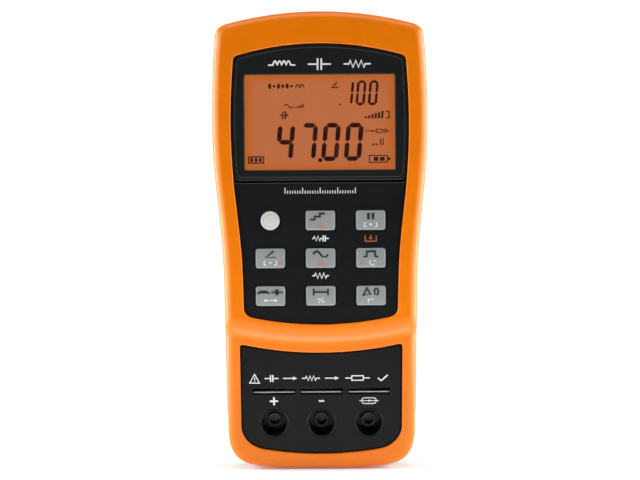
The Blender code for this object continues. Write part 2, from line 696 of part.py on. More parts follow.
def key(name, x, z, power):
    """A key: domed cap, lip behind the panel and a plunger over its dome in the mat."""
    cap, crown = key_outline(x, z, power, 0), key_outline(x, z, power, -0.5 * MM)
    lip, plunger = key_outline(x, z, power, KEY_LIP), key_outline(x, z, power, -2 * MM)
    lip_y = PANEL_BACK_Y + GAP
    front = PANEL_FRONT_Y - KEY_PROUD
    rings = [
        (plunger, KEY_BACK_Y), (plunger, lip_y + 1 * MM), (lip, lip_y + 1 * MM), (lip, lip_y),
        (cap, lip_y), (cap, front + 0.4 * MM), (crown, front),
    ]
    return stack(name, rings, WHITE if power else KEYS)


def keypad_mat():
    """Silicone sheet with one dome under each key."""
    piece = box("keypad_mat", (-MAT_X / 2, MAT_Y, MAT_LOW_Z), (MAT_X / 2, BOARD_Y - GAP, MAT_HIGH_Z),
                SILICONE)
    root = MAT_Y + 0.4 * MM
    for name, x, z, _ in key_spots():
        dome = bmesh.new()
        add_rod(dome, (x, root, z), (0, -1, 0), root - DOME_Y, 3.4 * MM, FEW, 2.2 * MM)
        boolean(piece, put(dome, "dome_" + name, None, cutters), "UNION")


# ---------------------------------------------------------------- display stack

def lcd_parts():
    """Glass in a frame on the board, lit from behind, with the strip that connects it below the light."""
    half_x, low_z, high_z = LCD_X / 2, WINDOW_MID_Z - LCD_Z / 2, WINDOW_MID_Z + LCD_Z / 2
    box("lcd_glass", (-half_x, LCD_Y, low_z), (half_x, LCD_Y + LCD_THICK, high_z), LCD)
    frame = box("lcd_frame", (-half_x - LCD_RIM, LCD_Y + 0.2 * MM, low_z - LCD_RIM),
                (half_x + LCD_RIM, BOARD_Y - GAP, high_z + LCD_RIM), BLACK)
    cut_box(frame, "lcd_frame_inside", (-half_x - GAP, -30 * MM, low_z - GAP),
            (half_x + GAP, 0, high_z + GAP))
    light_x, light_y = half_x - 1 * MM, LCD_Y + LCD_THICK + GAP
    box("backlight", (-light_x, light_y, low_z + 4.5 * MM), (light_x, light_y + 3 * MM, high_z - 1 * MM),
        DIFFUSER, 0.4 * MM)
    strip_x = 29 * MM
    box("zebra_strip", (-strip_x, light_y, low_z + 0.6 * MM),
        (strip_x, BOARD_Y - GAP, low_z + 3.2 * MM), SILICONE)


# ---------------------------------------------------------------- terminals

def jack_places():
    for i, name in enumerate(TERMINAL_NAMES):
        yield name, (i - 1) * JACK_PITCH


def terminal_rod(name, x, start_y, length, radius, sides=ROUND):
    """Cutter square to the terminal panel, on a jack's axis."""
    bm = bmesh.new()
    add_rod(bm, (x, start_y, JACK_Z), Y_AXIS, length, radius, sides)
    bmesh.ops.transform(bm, matrix=TERMINAL_FRAME, verts=bm.verts)
    return put(bm, name, None, cutters)


def terminal_panel():
    """Lower panel with a shroud tube behind each jack hole and a slot for component leads above it."""
    piece = stepped_panel("terminal_panel", lower_half, 0, TERMINAL_FLANGE_Y, FLANGE / 2, TERMINAL_FRAME)
    for name, x in jack_places():
        tube = terminal_rod("tube_" + name, x, 1 * MM, SHROUD_DEPTH - 1 * MM, SHROUD_R + SHROUD_WALL)
        boolean(piece, tube, "UNION")
    for name, x in jack_places():
        boolean(piece, terminal_rod("well_" + name, x, -2 * MM, SHROUD_DEPTH + 4 * MM, SHROUD_R))
        slot = rounded_box(SLOT_X / 2, SLOT_H / 2, 0.3 * MM, (x, SLOT_Z), 1)
        cut_outline(piece, "slot_" + name, slot, -2 * MM, 5 * MM, TERMINAL_FRAME)


def jack(name, x):
    """Socket: an insulated post with a 4 mm bore, on a flange that closes its shroud, and a solder tail."""
    flange_y, flange_r = SHROUD_DEPTH + GAP, SHROUD_R + 1 * MM
    flange_back, tail_end = flange_y + 1.5 * MM, flange_y + 4.2 * MM
    profile = (
        (0, flange_y), (SOCKET_R, flange_y), (SOCKET_R, POST_RECESS),
        (POST_R, POST_RECESS), (POST_R, flange_y), (flange_r, flange_y),
        (flange_r, flange_back), (TAIL_R, flange_back), (TAIL_R, tail_end), (0, tail_end),
    )
    turned("jack_" + name, profile, METAL, TERMINAL_FRAME @ Matrix.Translation((x, 0, JACK_Z)))


def contact(name, x):
    """Sprung contact behind a lead slot: two leaves of one folded strip, and a tail to the terminal board."""
    front, fold, tail = 2.9 * MM, 10 * MM, TERMINAL_BOARD_Y - GAP
    thick, half = 0.4 * MM, SLOT_H / 2 + 0.1 * MM
    outline = (
        (front, half), (fold, half), (fold, thick - half), (front, thick - half), (front, -half),
        (tail, -half), (tail, thick - half), (fold + thick, thick - half), (fold + thick, half + thick),
        (front, half + thick),
    )
    bm = bmesh.new()
    sides = []
    for end in (-CONTACT_X / 2, CONTACT_X / 2):
        sides.append([bm.verts.new(TERMINAL_FRAME @ Vector((x + end, y, SLOT_Z + z))) for y, z in outline])
    for i in range(len(outline)):
        j = (i + 1) % len(outline)
        bm.faces.new((sides[0][i], sides[0][j], sides[1][j], sides[1][i]))
    bm.faces.new(sides[0])
    bm.faces.new(sides[1])
    put(bm, "contact_" + name, BRASS)


def terminal_board():
    """Board behind the jacks, with a hole for each tail."""
    bm = bmesh.new()
    add_box(bm, (-30 * MM, TERMINAL_BOARD_Y, 9 * MM), (30 * MM, TERMINAL_BOARD_Y + BOARD_THICK, 35 * MM),
            TERMINAL_FRAME)
    piece = put(bm, "terminal_board", BOARD)
    for name, x in jack_places():
        boolean(piece, terminal_rod("tail_" + name, x, TERMINAL_BOARD_Y - 1 * MM, 5 * MM, TAIL_R + GAP, FEW))


def ribbon():
    """A flat ribbon of constant thickness along its path, from the main board to the terminal board."""
    half, last = RIBBON_THICK / 2, len(RIBBON_PATH) - 1
    front, back = [], []
    for i, (y, z) in enumerate(RIBBON_PATH):
        before, after = RIBBON_PATH[max(i - 1, 0)], RIBBON_PATH[min(i + 1, last)]
        run = Vector((after[0] - before[0], after[1] - before[1])).normalized()
        front.append((y + run.y * half, z - run.x * half))
        back.append((y - run.y * half, z + run.x * half))
    outline = front + back[::-1]
    bm = bmesh.new()
    ends = [[bm.verts.new((x, y, z)) for y, z in outline] for x in RIBBON_X]
    for i in range(len(outline)):
        j = (i + 1) % len(outline)
        bm.faces.new((ends[0][i], ends[0][j], ends[1][j], ends[1][i]))
    for end in ends:
        for i in range(last):
            bm.faces.new((end[i], end[i + 1], end[-2 - i], end[-1 - i]))
    put(bm, "board_ribbon", BRASS)


# ---------------------------------------------------------------- boards and components

def main_board():
    """Board that follows the case from the top down to the terminals; the case screws pass through it."""
    heights = [z * MM for z in (152, 126, 98, 70)]
    top, right, _ = case_half(BOARD_INSET, heights)
    half = top + [p for p in right[1:] if p[1] > BOARD_FOOT_Z]
    half += [(half[-1][0], BOARD_FOOT_Z), (0, BOARD_FOOT_Z)]
    outline = mirrored(half)
    piece = stack("main_board", [(outline, BOARD_Y), (outline, BOARD_Y + BOARD_THICK)], BOARD)
    holes = [(x, z, SCREW_R + GAP) for x, z in SCREW_SPOTS.values()]
    holes += [(x, BOARD_POST_Z, 1 * MM) for x in POST_SPOTS_X]
    for x, z, radius in holes:
        drill(piece, "board_hole", (x, BOARD_Y - 1 * MM, z), Y_AXIS, 4 * MM, radius, FEW)


def board_components():
    """Pieces soldered to the back of the main board."""
    for name, (x, z), (wide, deep, tall), material in (
        ("main_chip", (4, 118), (14, 1.4, 14), BLACK),
        ("shield_can", (-22, 128), (22, 3.4, 26), METAL),
        ("crystal", (18, 110), (11, 3.4, 4.6), METAL),
        ("range_relay_left", (-25, 76), (7.4, 5.2, 10), WHITE),
        ("range_relay_right", (25, 76), (7.4, 5.2, 10), WHITE),
    ):
        low = ((x - wide / 2) * MM, BOARD_BACK_Y, (z - tall / 2) * MM)
        high = ((x + wide / 2) * MM, BOARD_BACK_Y + deep * MM, (z + tall / 2) * MM)
        box(name, low, high, material, 0.3 * MM)
    rod("buzzer", (24 * MM, BOARD_BACK_Y, 146 * MM), Y_AXIS, 4 * MM, 6.5 * MM, BLACK)
    rod("supply_capacitor", (24 * MM, BOARD_BACK_Y, 128 * MM), Y_AXIS, 9 * MM, 4 * MM, BLACK, FEWER)


def supply_inlet():
    """Barrel socket for an external supply, on the right edge of the board behind a hole in the case."""
    body = box("dc_jack", (25 * MM, BOARD_BACK_Y, INLET_Z - INLET_HALF),
               (34.6 * MM, INLET_Y + INLET_HALF, INLET_Z + INLET_HALF), BLACK)
    join_rod(body, "inlet_collar", (34 * MM, INLET_Y, INLET_Z), X_AXIS, 4 * MM, INLET_HALF - 0.4 * MM)
    drill(body, "inlet_bore", (28 * MM, INLET_Y, INLET_Z), X_AXIS, 14 * MM, INLET_BORE_R)
    join_rod(body, "inlet_pin", (27 * MM, INLET_Y, INLET_Z), X_AXIS, 9 * MM, INLET_PIN_R, FEW)


def optical_link():
    """Lamp and receiver for the data link, on a holder behind a dark window near the top of the rear case."""
    pane = rounded_box(LINK_X, LINK_HALF_Z, 1.3 * MM, (0, LINK_Z), 2)
    stack("ir_window", [(pane, LINK_WINDOW_Y), (pane, HALF_DEPTH - 0.2 * MM)], BLACK)
    box("ir_holder", (-LINK_X, BOARD_BACK_Y, LINK_Z - LINK_HALF_Z),
        (LINK_X, LINK_HOLDER_Y, LINK_Z + LINK_HALF_Z), BLACK, 0.3 * MM)
    start, rim, lens = LINK_HOLDER_Y + GAP, 1.9 * MM, 1.5 * MM
    dome = [(lens * cos(k * pi / 6), start + 4 * MM + lens * sin(k * pi / 6)) for k in range(3)]
    profile = [(0, start), (rim, start), (rim, start + 1 * MM), (lens, start + 1 * MM), *dome]
    profile.append((0, start + 4 * MM + lens))
    for name, side in (("ir_led", -1), ("ir_receiver", 1)):
        turned(name, profile, BLACK, Matrix.Translation((side * 3.6 * MM, 0, LINK_Z)), FEWER)


# ---------------------------------------------------------------- battery

def battery():
    """Battery with two studs, the snap over them and its two leads to the board."""
    wide, deep, tall = BATTERY
    low_y, low_z = BAY_FLOOR_Y + GAP, BAY_LOW_Z + GAP
    cell = box("battery_9v", (-wide / 2, low_y, low_z), (wide / 2, low_y + deep, low_z + tall), CELL, 1 * MM)
    top, middle_y = low_z + tall, low_y + deep / 2
    snap_z = top + GAP
    snap = box("battery_snap", (-12.5 * MM, middle_y - 6 * MM, snap_z),
               (12.5 * MM, middle_y + 6 * MM, snap_z + SNAP_THICK), BLACK, 0.5 * MM)
    for x, radius in ((-STUD_X, 2.7 * MM), (STUD_X, 3.3 * MM)):
        join_rod(cell, "stud", (x, middle_y, top - 1 * MM), Z_AXIS, 3.2 * MM, radius, FEWER)
        drill(snap, "cup", (x, middle_y, snap_z - 1 * MM), Z_AXIS, 3.6 * MM, radius + GAP, FEWER)
    start, over_z = (middle_y - 4 * MM, snap_z + SNAP_THICK + GAP), BAY_HIGH_Z + 7.5 * MM
    route = (start, (3.7 * MM, BAY_HIGH_Z - 1.5 * MM), (3.2 * MM, BAY_HIGH_Z + 3 * MM),
             (-1 * MM, BAY_HIGH_Z + 7 * MM), (-4.5 * MM, over_z), (BOARD_BACK_Y, over_z))
    lead("battery_lead_plus", -2 * MM, route, RED)
    lead("battery_lead_minus", 2 * MM, route, BLACK)


def lead(name, x, route, material):
    """A thin wire at x through a list of points in y and z, as a mesh with welded caps."""
    curve = bpy.data.curves.new(name, "CURVE")
    curve.dimensions = "3D"
    curve.bevel_depth = LEAD_R
    curve.bevel_resolution = 1
    curve.use_fill_caps = True
    curve.resolution_u = 1
    line = curve.splines.new("POLY")
    line.points.add(len(route) - 1)
    for point, (y, z) in zip(line.points, route):
        point.co = (x, y, z, 1)
    wire = bpy.data.objects.new(name + "_path", curve)
    parts.objects.link(wire)
    bpy.context.view_layer.update()
    solid = bpy.data.meshes.new_from_object(wire.evaluated_get(bpy.context.evaluated_depsgraph_get()))
    bpy.data.objects.remove(wire)
    bm = bmesh.new()
    bm.from_mesh(solid)
    bmesh.ops.remove_doubles(bm, verts=bm.verts, dist=0.01 * MM)
    put(bm, name, material)


def battery_cover():
    """Lid that lifts straight off the back once its screw is out."""
    middle = (0, (COVER_LOW_Z + COVER_HIGH_Z) / 2)
    outline = rounded_box(COVER_X / 2, (COVER_HIGH_Z - COVER_LOW_Z) / 2, 2 * MM, middle, 2)
    rings = [(outline, HALF_DEPTH - COVER_THICK), (outline, HALF_DEPTH - 0.1 * MM)]
    cover = stack("battery_cover", rings, REAR_GREY)
    drill(cover, "cover_hole", (0, 15 * MM, COVER_SCREW_Z), Y_AXIS, 9 * MM, 1.5 * MM, FEW)
    drill(cover, "cover_sink", (0, HALF_DEPTH - 1.2 * MM, COVER_SCREW_Z), Y_AXIS, 4 * MM, 2.8 * MM, FEWER)
    screw("cover_screw", (0, HALF_DEPTH - 1 * MM, COVER_SCREW_Z), 2.4 * MM, 0.8 * MM, 1 * MM, 6 * MM)


# ---------------------------------------------------------------- screws and stand

def screw(name, seat, head_r, head_thick, shank_r, length):
    """Pan-head screw with its head towards +Y and a cross recess, seated at seat."""
    shank = ((0, -length), (shank_r, -length), (shank_r, 0))
    profile = (*shank, (head_r, 0), (head_r, head_thick), (0, head_thick))
    piece = turned(name, profile, STEEL, Matrix.Translation(seat), FEWER)
    arm, depth = head_r * CROSS_REACH, head_thick / 2
    for half_x, half_z in ((arm, arm * CROSS_WIDTH), (arm * CROSS_WIDTH, arm)):
        cut_box(piece, "cross_" + name, (seat[0] - half_x, seat[1] + head_thick - depth, seat[2] - half_z),
                (seat[0] + half_x, seat[1] + head_thick + depth, seat[2] + half_z))


def all_screws():
    for name, (x, z) in SCREW_SPOTS.items():
        length = SCREW_SEAT_Y - SCREW_TIP_Y
        screw(name, (x, SCREW_SEAT_Y + 0.2 * MM, z), SCREW_HEAD_R, 2 * MM, SCREW_R, length)
    for side, x in zip(("left", "right"), POST_SPOTS_X):
        screw("board_screw_" + side, (x, BOARD_BACK_Y, BOARD_POST_Z), 1.9 * MM, 1.2 * MM, 0.8 * MM, 7 * MM)


def tilt_stand():
    """Flap that lies in the rear recess and swings out about its pin; its origin is on the pin's axis."""
    half, back_y = STAND_X / 2, HALF_DEPTH - 0.1 * MM
    outline = rounded_box(half, (STAND_HINGE_Z - STAND_FOOT_Z) / 2, 4 * MM,
                          (0, (STAND_HINGE_Z + STAND_FOOT_Z) / 2), 3)
    flap = stack("tilt_stand", [(outline, back_y - STAND_THICK), (outline, back_y)], REAR_GREY)
    join_rod(flap, "barrel", (-half, STAND_HINGE_Y, STAND_HINGE_Z), X_AXIS, STAND_X, STAND_BARREL_R)
    cut_box(flap, "stand_dish", (-half + 7 * MM, HALF_DEPTH - 1 * MM, STAND_FOOT_Z + 9 * MM),
            (half - 7 * MM, HALF_DEPTH + 2 * MM, STAND_HINGE_Z - 12 * MM))
    cut_box(flap, "stand_top", (-half - 1 * MM, STAND_HINGE_Y - 4 * MM, STAND_HINGE_Z + STAND_BARREL_R),
            (half + 1 * MM, HALF_DEPTH + 2.1 * MM, STAND_HINGE_Z + 12 * MM))
    drill(flap, "bore", (-half - 1 * MM, STAND_HINGE_Y, STAND_HINGE_Z), X_AXIS, STAND_X + 2 * MM,
          STAND_PIN_R + 0.2 * MM, FEWER)
    axis = Vector((0, STAND_HINGE_Y, STAND_HINGE_Z))
    flap.data.transform(Matrix.Translation(-axis))
    flap.location = axis
    rod("stand_pin", (-half - 2.2 * MM, STAND_HINGE_Y, STAND_HINGE_Z), X_AXIS, STAND_X + 4.4 * MM,
        STAND_PIN_R, STEEL, FEWER)


# ---------------------------------------------------------------- assembly

front_case()
rear_case()
display_bezel()
display_window()
keypad_panel()
for spot in key_spots():
    key(*spot)
keypad_mat()
lcd_parts()
terminal_panel()
for terminal, place in jack_places():
    jack(terminal, place)
    contact(terminal, place)
terminal_board()
ribbon()
main_board()
board_components()
supply_inlet()
optical_link()
battery()
battery_cover()
all_screws()
tilt_stand()

for part in parts.objects:
    smooth(part)
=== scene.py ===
"""Looks of the hand-held LCR meter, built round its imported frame: front to -Y, length along +Z, in metres."""

from math import asin, cos, pi, radians, sin, sqrt, tan

import bmesh
import bpy
from mathutils import Matrix, Vector
from mathutils.geometry import interpolate_bezier


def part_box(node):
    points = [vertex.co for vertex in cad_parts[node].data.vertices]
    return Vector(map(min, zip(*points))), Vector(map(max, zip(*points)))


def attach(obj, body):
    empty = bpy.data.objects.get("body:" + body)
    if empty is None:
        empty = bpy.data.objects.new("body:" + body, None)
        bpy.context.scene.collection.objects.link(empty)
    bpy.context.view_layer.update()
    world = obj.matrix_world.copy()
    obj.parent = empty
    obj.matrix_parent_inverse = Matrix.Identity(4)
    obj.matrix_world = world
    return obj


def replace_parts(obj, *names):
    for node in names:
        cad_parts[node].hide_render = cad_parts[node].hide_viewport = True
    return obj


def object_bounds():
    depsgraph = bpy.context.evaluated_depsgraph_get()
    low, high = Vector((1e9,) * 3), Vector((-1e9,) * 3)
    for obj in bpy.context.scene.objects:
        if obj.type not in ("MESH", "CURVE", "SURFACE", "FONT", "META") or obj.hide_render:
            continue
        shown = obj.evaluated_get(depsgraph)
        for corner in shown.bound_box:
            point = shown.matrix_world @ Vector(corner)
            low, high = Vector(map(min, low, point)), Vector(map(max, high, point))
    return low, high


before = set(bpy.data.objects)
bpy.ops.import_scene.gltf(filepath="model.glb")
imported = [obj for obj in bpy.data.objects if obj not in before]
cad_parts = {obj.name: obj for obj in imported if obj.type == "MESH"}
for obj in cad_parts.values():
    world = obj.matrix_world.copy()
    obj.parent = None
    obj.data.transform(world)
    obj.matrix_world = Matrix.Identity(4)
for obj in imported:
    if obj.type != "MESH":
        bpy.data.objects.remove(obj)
CAD_BOX = [list(point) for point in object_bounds()]

MM = 0.001
FRONT_Y, BACK_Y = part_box("front_case")[0].y, CAD_BOX[1][1]
LENGTH = CAD_BOX[1][2]
GAP = 0.3 * MM                      # clearance between neighbouring pieces
WALL = 2.2 * MM                     # thickness of both shells
INK = 0.03 * MM                     # thickness of printed marks


# ---------------------------------------------------------------- materials

def linear(red, green, blue):
    """Linear colour from 0-255 display values."""
    def one(value):
        value /= 255
        return value / 12.92 if value <= 0.04045 else ((value + 0.055) / 1.055) ** 2.4

    return one(red), one(green), one(blue), 1


def add_node(tree, kind, sources=(), **values):
    """A shader node with its inputs linked or set; names stand for inputs, with _ for a space."""
    made = tree.nodes.new("ShaderNode" + kind)
    for name, source in dict(sources).items():
        tree.links.new(source, made.inputs[name])
    for name, value in values.items():
        made.inputs[name.replace("_", " ")].default_value = value
    return made


def material(name, colour, rough, *, metal=0.0, vary=0.06, grain=0.0, grain_size=0.25 * MM, blotch=9 * MM,
             rough_vary=0.05, coat=0.0, emit=0.0, specular=0.5, brushed=(1, 1, 1)):
    """Principled material whose colour, gloss and relief come from noise in the object's own space."""
    made = bpy.data.materials.new(name)
    made.use_nodes = True
    tree = made.node_tree
    inputs = tree.nodes["Principled BSDF"].inputs
    place = add_node(tree, "TexCoord").outputs["Object"]
    scaled = add_node(tree, "Mapping", {"Vector": place}, Scale=brushed).outputs["Vector"]

    def noise(size, detail):
        return add_node(tree, "TexNoise", {"Vector": scaled}, Scale=1 / size, Detail=detail).outputs["Fac"]

    ramp = add_node(tree, "ValToRGB", {"Fac": noise(blotch, 3)})
    for stop, position, side in zip(ramp.color_ramp.elements, (0.3, 0.7), (-1, 1)):
        stop.position = position
        stop.color = tuple(min(c * (1 + side * vary), 1) for c in colour[:3]) + (1,)
    tree.links.new(ramp.outputs["Color"], inputs["Base Color"])
    spread = add_node(tree, "MapRange", {"Value": noise(blotch / 6, 2)}, To_Min=max(rough - rough_vary, 0.02),
                      To_Max=min(rough + rough_vary, 1))
    tree.links.new(spread.outputs["Result"], inputs["Roughness"])
    if grain:
        bump = add_node(tree, "Bump", {"Height": noise(grain_size, 2)}, Strength=grain, Distance=0.05 * MM)
        tree.links.new(bump.outputs["Normal"], inputs["Normal"])
    constants = {
        "Metallic": metal, "Specular IOR Level": specular, "Coat Weight": coat, "Coat Roughness": 0.25,
    }
    if emit:
        tree.links.new(ramp.outputs["Color"], inputs["Emission Color"])
        constants["Emission Strength"] = emit
    for constant, value in constants.items():
        inputs[constant].default_value = value
    return made


ORANGE = material("case_orange", linear(226, 117, 0), 0.32, vary=0.03, grain=0.10, specular=0.4)
GREY = material("case_grey", linear(40, 42, 45), 0.52, vary=0.08, grain=0.30, grain_size=0.3 * MM)
CHARCOAL = material("panel_charcoal", linear(21, 23, 25), 0.34, vary=0.08, grain=0.08, specular=0.2)
PANEL_LOW = material("terminal_charcoal", linear(18, 19, 20), 0.34, vary=0.08, grain=0.08, specular=0.15)
# Painted highlight: a light grey laid in thin strips on the dark panels where their edges would catch the
# light.
PAINTED_EDGE_HIGHLIGHT = material("edge_line", linear(66, 74, 72), 0.4, vary=0.05, blotch=3 * MM)
BEZEL = material("bezel_charcoal", linear(27, 29, 29), 0.30, vary=0.06, specular=0.25)
KEY_GREY = material("key_grey", linear(137, 141, 141), 0.38, vary=0.03, grain=0.05, coat=0.1)
KEY_WHITE = material("key_white", linear(194, 196, 193), 0.36, vary=0.02, grain=0.05, coat=0.1)
BLACK = material("moulded_black", linear(26, 26, 27), 0.45, vary=0.1, grain=0.12)
# Painted light: the posts are a lighter grey than the dark real ones, to stand in for light that barely reaches
# down their deep wells.
SOCKET = material("socket_grey", linear(116, 114, 110), 0.35, vary=0.1, grain=0.05)
WHITE_INK = material("ink_white", linear(222, 224, 224), 0.5, vary=0.03, blotch=2 * MM)
DARK_INK = material("ink_dark", linear(28, 30, 34), 0.5, vary=0.08, blotch=2 * MM)
ORANGE_INK = material("ink_orange", linear(196, 112, 60), 0.5, vary=0.05, blotch=2 * MM)
BROWN_INK = material("ink_brown", linear(160, 92, 48), 0.5, vary=0.05, blotch=2 * MM)
PALE_INK = material("ink_pale", linear(212, 216, 216), 0.5, vary=0.03, blotch=2 * MM)
NICKEL = material("nickel", linear(214, 211, 204), 0.24, metal=1, vary=0.03, brushed=(1, 8, 1))
SOCKET_METAL = material("socket_metal", linear(84, 82, 79), 0.38, metal=0.5, vary=0.05)
BRASS = material("spring_tinned", linear(206, 203, 196), 0.4, metal=0.3, vary=0.05, brushed=(12, 1, 1))
STEEL = material("zinc_steel", linear(178, 180, 184), 0.32, metal=1, vary=0.06, blotch=2 * MM)
SILICONE = material("silicone", linear(150, 150, 155), 0.7, vary=0.05, grain=0.1)
BOARD = material("board_green", linear(28, 92, 52), 0.35, vary=0.15, blotch=4 * MM, coat=0.4)
JACKET = material("battery_jacket", linear(52, 74, 120), 0.34, vary=0.06, coat=0.3)
RED_WIRE = material("lead_red", linear(170, 26, 24), 0.45, vary=0.05)
RIBBON = material("ribbon_amber", linear(186, 120, 46), 0.3, vary=0.08)
RELAY = material("relay_white", linear(222, 220, 210), 0.45, vary=0.03)
LIGHT_GUIDE = material("backlight_white", linear(235, 200, 150), 0.4, vary=0.02)
LINK_DARK = material("link_window", linear(30, 10, 14), 0.12, vary=0.1, coat=0.6)
SEGMENT = material("lcd_segment", linear(66, 20, 6), 0.4, vary=0.04, blotch=3 * MM)
SEGMENT_SOFT = material("lcd_segment_soft", linear(96, 36, 16), 0.4, vary=0.04, blotch=3 * MM)

FLOOR = material("pale_floor", (0.93, 0.93, 0.93, 1), 0.8, vary=0.01, blotch=0.2, emit=0.15, specular=0.1)


def clear_pane():
    """Clear acrylic with a faint warm tint and a little surface haze."""
    made = material("window_clear", (0.95, 0.95, 0.94, 1), 0.03, vary=0.01, rough_vary=0.015)
    inputs = made.node_tree.nodes["Principled BSDF"].inputs
    inputs["Transmission Weight"].default_value = 1
    inputs["IOR"].default_value = 1.2
    return made


def lit_display():
    """Backlit display glass: brownish orange in the middle, purer and brighter orange towards its edges."""
    made = material("lcd_amber", linear(70, 34, 16), 0.35, vary=0.03, blotch=14 * MM)
    tree = made.node_tree
    place = add_node(tree, "TexCoord").outputs["Object"]
    split = add_node(tree, "SeparateXYZ", {"Vector": place})
    low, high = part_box("lcd_glass")

    def math_node(operation, first):
        node = add_node(tree, "Math", {0: first})
        node.operation = operation
        return node

    def edge(axis, start, end):
        """1 at both ends of an axis, 0 well inside."""
        shift = math_node("SUBTRACT", split.outputs[axis])
        shift.inputs[1].default_value = (start + end) / 2
        size = math_node("ABSOLUTE", shift.outputs[0])
        half = (end - start) / 2
        ramp = add_node(tree, "MapRange", {"Value": size.outputs[0]}, From_Min=half - 7.5 * MM,
                        From_Max=half - 1.8 * MM)
        ramp.interpolation_type = "SMOOTHSTEP"
        return ramp.outputs["Result"]

    most = math_node("MAXIMUM", edge("X", low.x, high.x))
    tree.links.new(edge("Z", low.z, high.z), most.inputs[1])
    glow = add_node(tree, "ValToRGB", {"Fac": most.outputs[0]})
    for stop, colour in zip(glow.color_ramp.elements, (linear(190, 109, 66), linear(196, 98, 30))):
        stop.color = colour
    inputs = tree.nodes["Principled BSDF"].inputs
    tree.links.new(glow.outputs["Color"], inputs["Emission Color"])
    inputs["Emission Strength"].default_value = 0.95
    return made


CLEAR = clear_pane()
LCD = lit_display()


# ---------------------------------------------------------------- mesh helpers

def object_from(bm, name):
    """Object in the scene from a bmesh, with its faces turned outwards."""
    bmesh.ops.recalc_face_normals(bm, faces=bm.faces)
    mesh = bpy.data.meshes.new(name)
    bm.to_mesh(mesh)
    bm.free()
    made = bpy.data.objects.new(name, mesh)
    bpy.context.scene.collection.objects.link(made)
    return made


def finish_piece(bm, name, surface, body, angle=32, weighted=True):
    """Piece from a bmesh, smooth-shaded up to an angle, riding on a body."""
    bmesh.ops.remove_doubles(bm, verts=bm.verts, dist=0.002 * MM)
    piece = object_from(bm, name)
    piece.data.materials.append(surface)
    settle(piece, angle, weighted)
    if body:
        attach(piece, body)
    return piece


def settle(piece, angle=32, weighted=True):
    piece.data.shade_smooth()
    piece.data.set_sharp_from_angle(angle=radians(angle))
    if weighted:
        even = piece.modifiers.new("even_shading", "WEIGHTED_NORMAL")
        even.keep_sharp = True
        even.weight = 100


def bake(piece):
    """Turn a piece's modifiers into its mesh."""
    made = bpy.data.meshes.new_from_object(piece.evaluated_get(bpy.context.evaluated_depsgraph_get()))
    old, surface = piece.data, piece.data.materials[0]
    piece.modifiers.clear()
    piece.data = made
    made.materials.clear()
    made.materials.append(surface)
    bpy.data.meshes.remove(old)
    made.name = piece.name


def carve(piece, cuts=(), unions=(), angle=32):
    """Join throw-away tools to a piece, then cut others out of it, and settle the shading again."""
    piece.modifiers.clear()
    tools = [("UNION", tool) for tool in unions] + [("DIFFERENCE", tool) for tool in cuts]
    for operation, tool in tools:
        step = piece.modifiers.new(tool.name, "BOOLEAN")
        step.operation, step.object, step.solver = operation, tool, "EXACT"
    bake(piece)
    for _, tool in tools:
        bpy.data.objects.remove(tool)
    settle(piece, angle)


def skin(bm, rows, hollow=False):
    """A closed loft through matching rows of points; a hollow one joins its ends."""
    loops = [[bm.verts.new(point) for point in row] for row in rows]
    for low, high in zip(loops, loops[1:] + loops[:1] if hollow else loops[1:]):
        for i in range(len(low)):
            j = (i + 1) % len(low)
            bm.faces.new((low[i], low[j], high[j], high[i]))
    if not hollow:
        bm.faces.new(loops[0])
        bm.faces.new(loops[-1])


def loft(rings, place=Matrix(), hollow=False):
    """A loft through matching rings, each (points in x and z, depth in y)."""
    bm = bmesh.new()
    skin(bm, [[place @ Vector((x, depth, z)) for x, z in ring] for ring, depth in rings], hollow)
    return bm


def lathe(profile, place=Matrix(), sides=48, hollow=False):
    """A turned solid about Y through (radius, depth) pairs, which starts and ends on a small flat cap."""
    rings = [(circle(max(radius, 0.02 * MM), sides=sides), depth) for radius, depth in profile]
    return loft(rings, place, hollow)


def block(low, high, radius=0.0, segments=4):
    """A box, with rounded edges if it has a radius."""
    bm = bmesh.new()
    size, middle = Vector(high) - Vector(low), (Vector(high) + Vector(low)) / 2
    bmesh.ops.create_cube(bm, size=1, matrix=Matrix.Translation(middle) @ Matrix.Diagonal((*size, 1)))
    if radius:
        bmesh.ops.bevel(bm, geom=bm.edges[:], offset=radius, segments=segments, profile=0.5, affect="EDGES")
    return bm


def box_tool(name, low, high, radius=0.0, segments=4):
    return object_from(block(low, high, radius, segments), name)


def rod_tool(name, start, axis, length, radius, sides=48):
    bm = bmesh.new()
    direction = Vector(axis)
    turn = direction.to_track_quat("Z", "Y").to_matrix().to_4x4()
    bmesh.ops.create_cone(bm, cap_ends=True, segments=sides, radius1=radius, radius2=radius, depth=length,
                          matrix=Matrix.Translation(Vector(start) + direction * length / 2) @ turn)
    return object_from(bm, name)


def circle(radius, middle=(0, 0), sides=48):
    turns = [2 * pi * k / sides for k in range(sides)]
    return [(middle[0] + radius * cos(turn), middle[1] + radius * sin(turn)) for turn in turns]


def rounded_box(half_x, half_z, radius, middle=(0, 0), steps=6):
    points = []
    for quarter, (sign_x, sign_z) in enumerate(((1, 1), (-1, 1), (-1, -1), (1, -1))):
        for k in range(steps + 1):
            angle = pi / 2 * (quarter + k / steps)
            points.append((middle[0] + sign_x * (half_x - radius) + radius * cos(angle),
                           middle[1] + sign_z * (half_z - radius) + radius * sin(angle)))
    return points


def grown(points, distance):
    """Outline offset outwards by a distance; it runs anticlockwise in x and z."""
    made = []
    for i, point in enumerate(points):
        before, here, after = Vector(points[i - 1]), Vector(point), Vector(points[(i + 1) % len(points)])
        first, second = (here - before).normalized(), (after - here).normalized()
        out = Vector((first.y, -first.x)) + Vector((second.y, -second.x))
        scale = distance / max(out.length_squared / 2, 0.3) if out.length else 0
        made.append(tuple(here + out * scale))
    return made


def anticlockwise(points):
    area = sum(a[0] * b[1] - b[0] * a[1] for a, b in zip(points, points[1:] + points[:1]))
    return points if area > 0 else points[::-1]


def centre(node):
    low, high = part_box(node)
    return (low + high) / 2


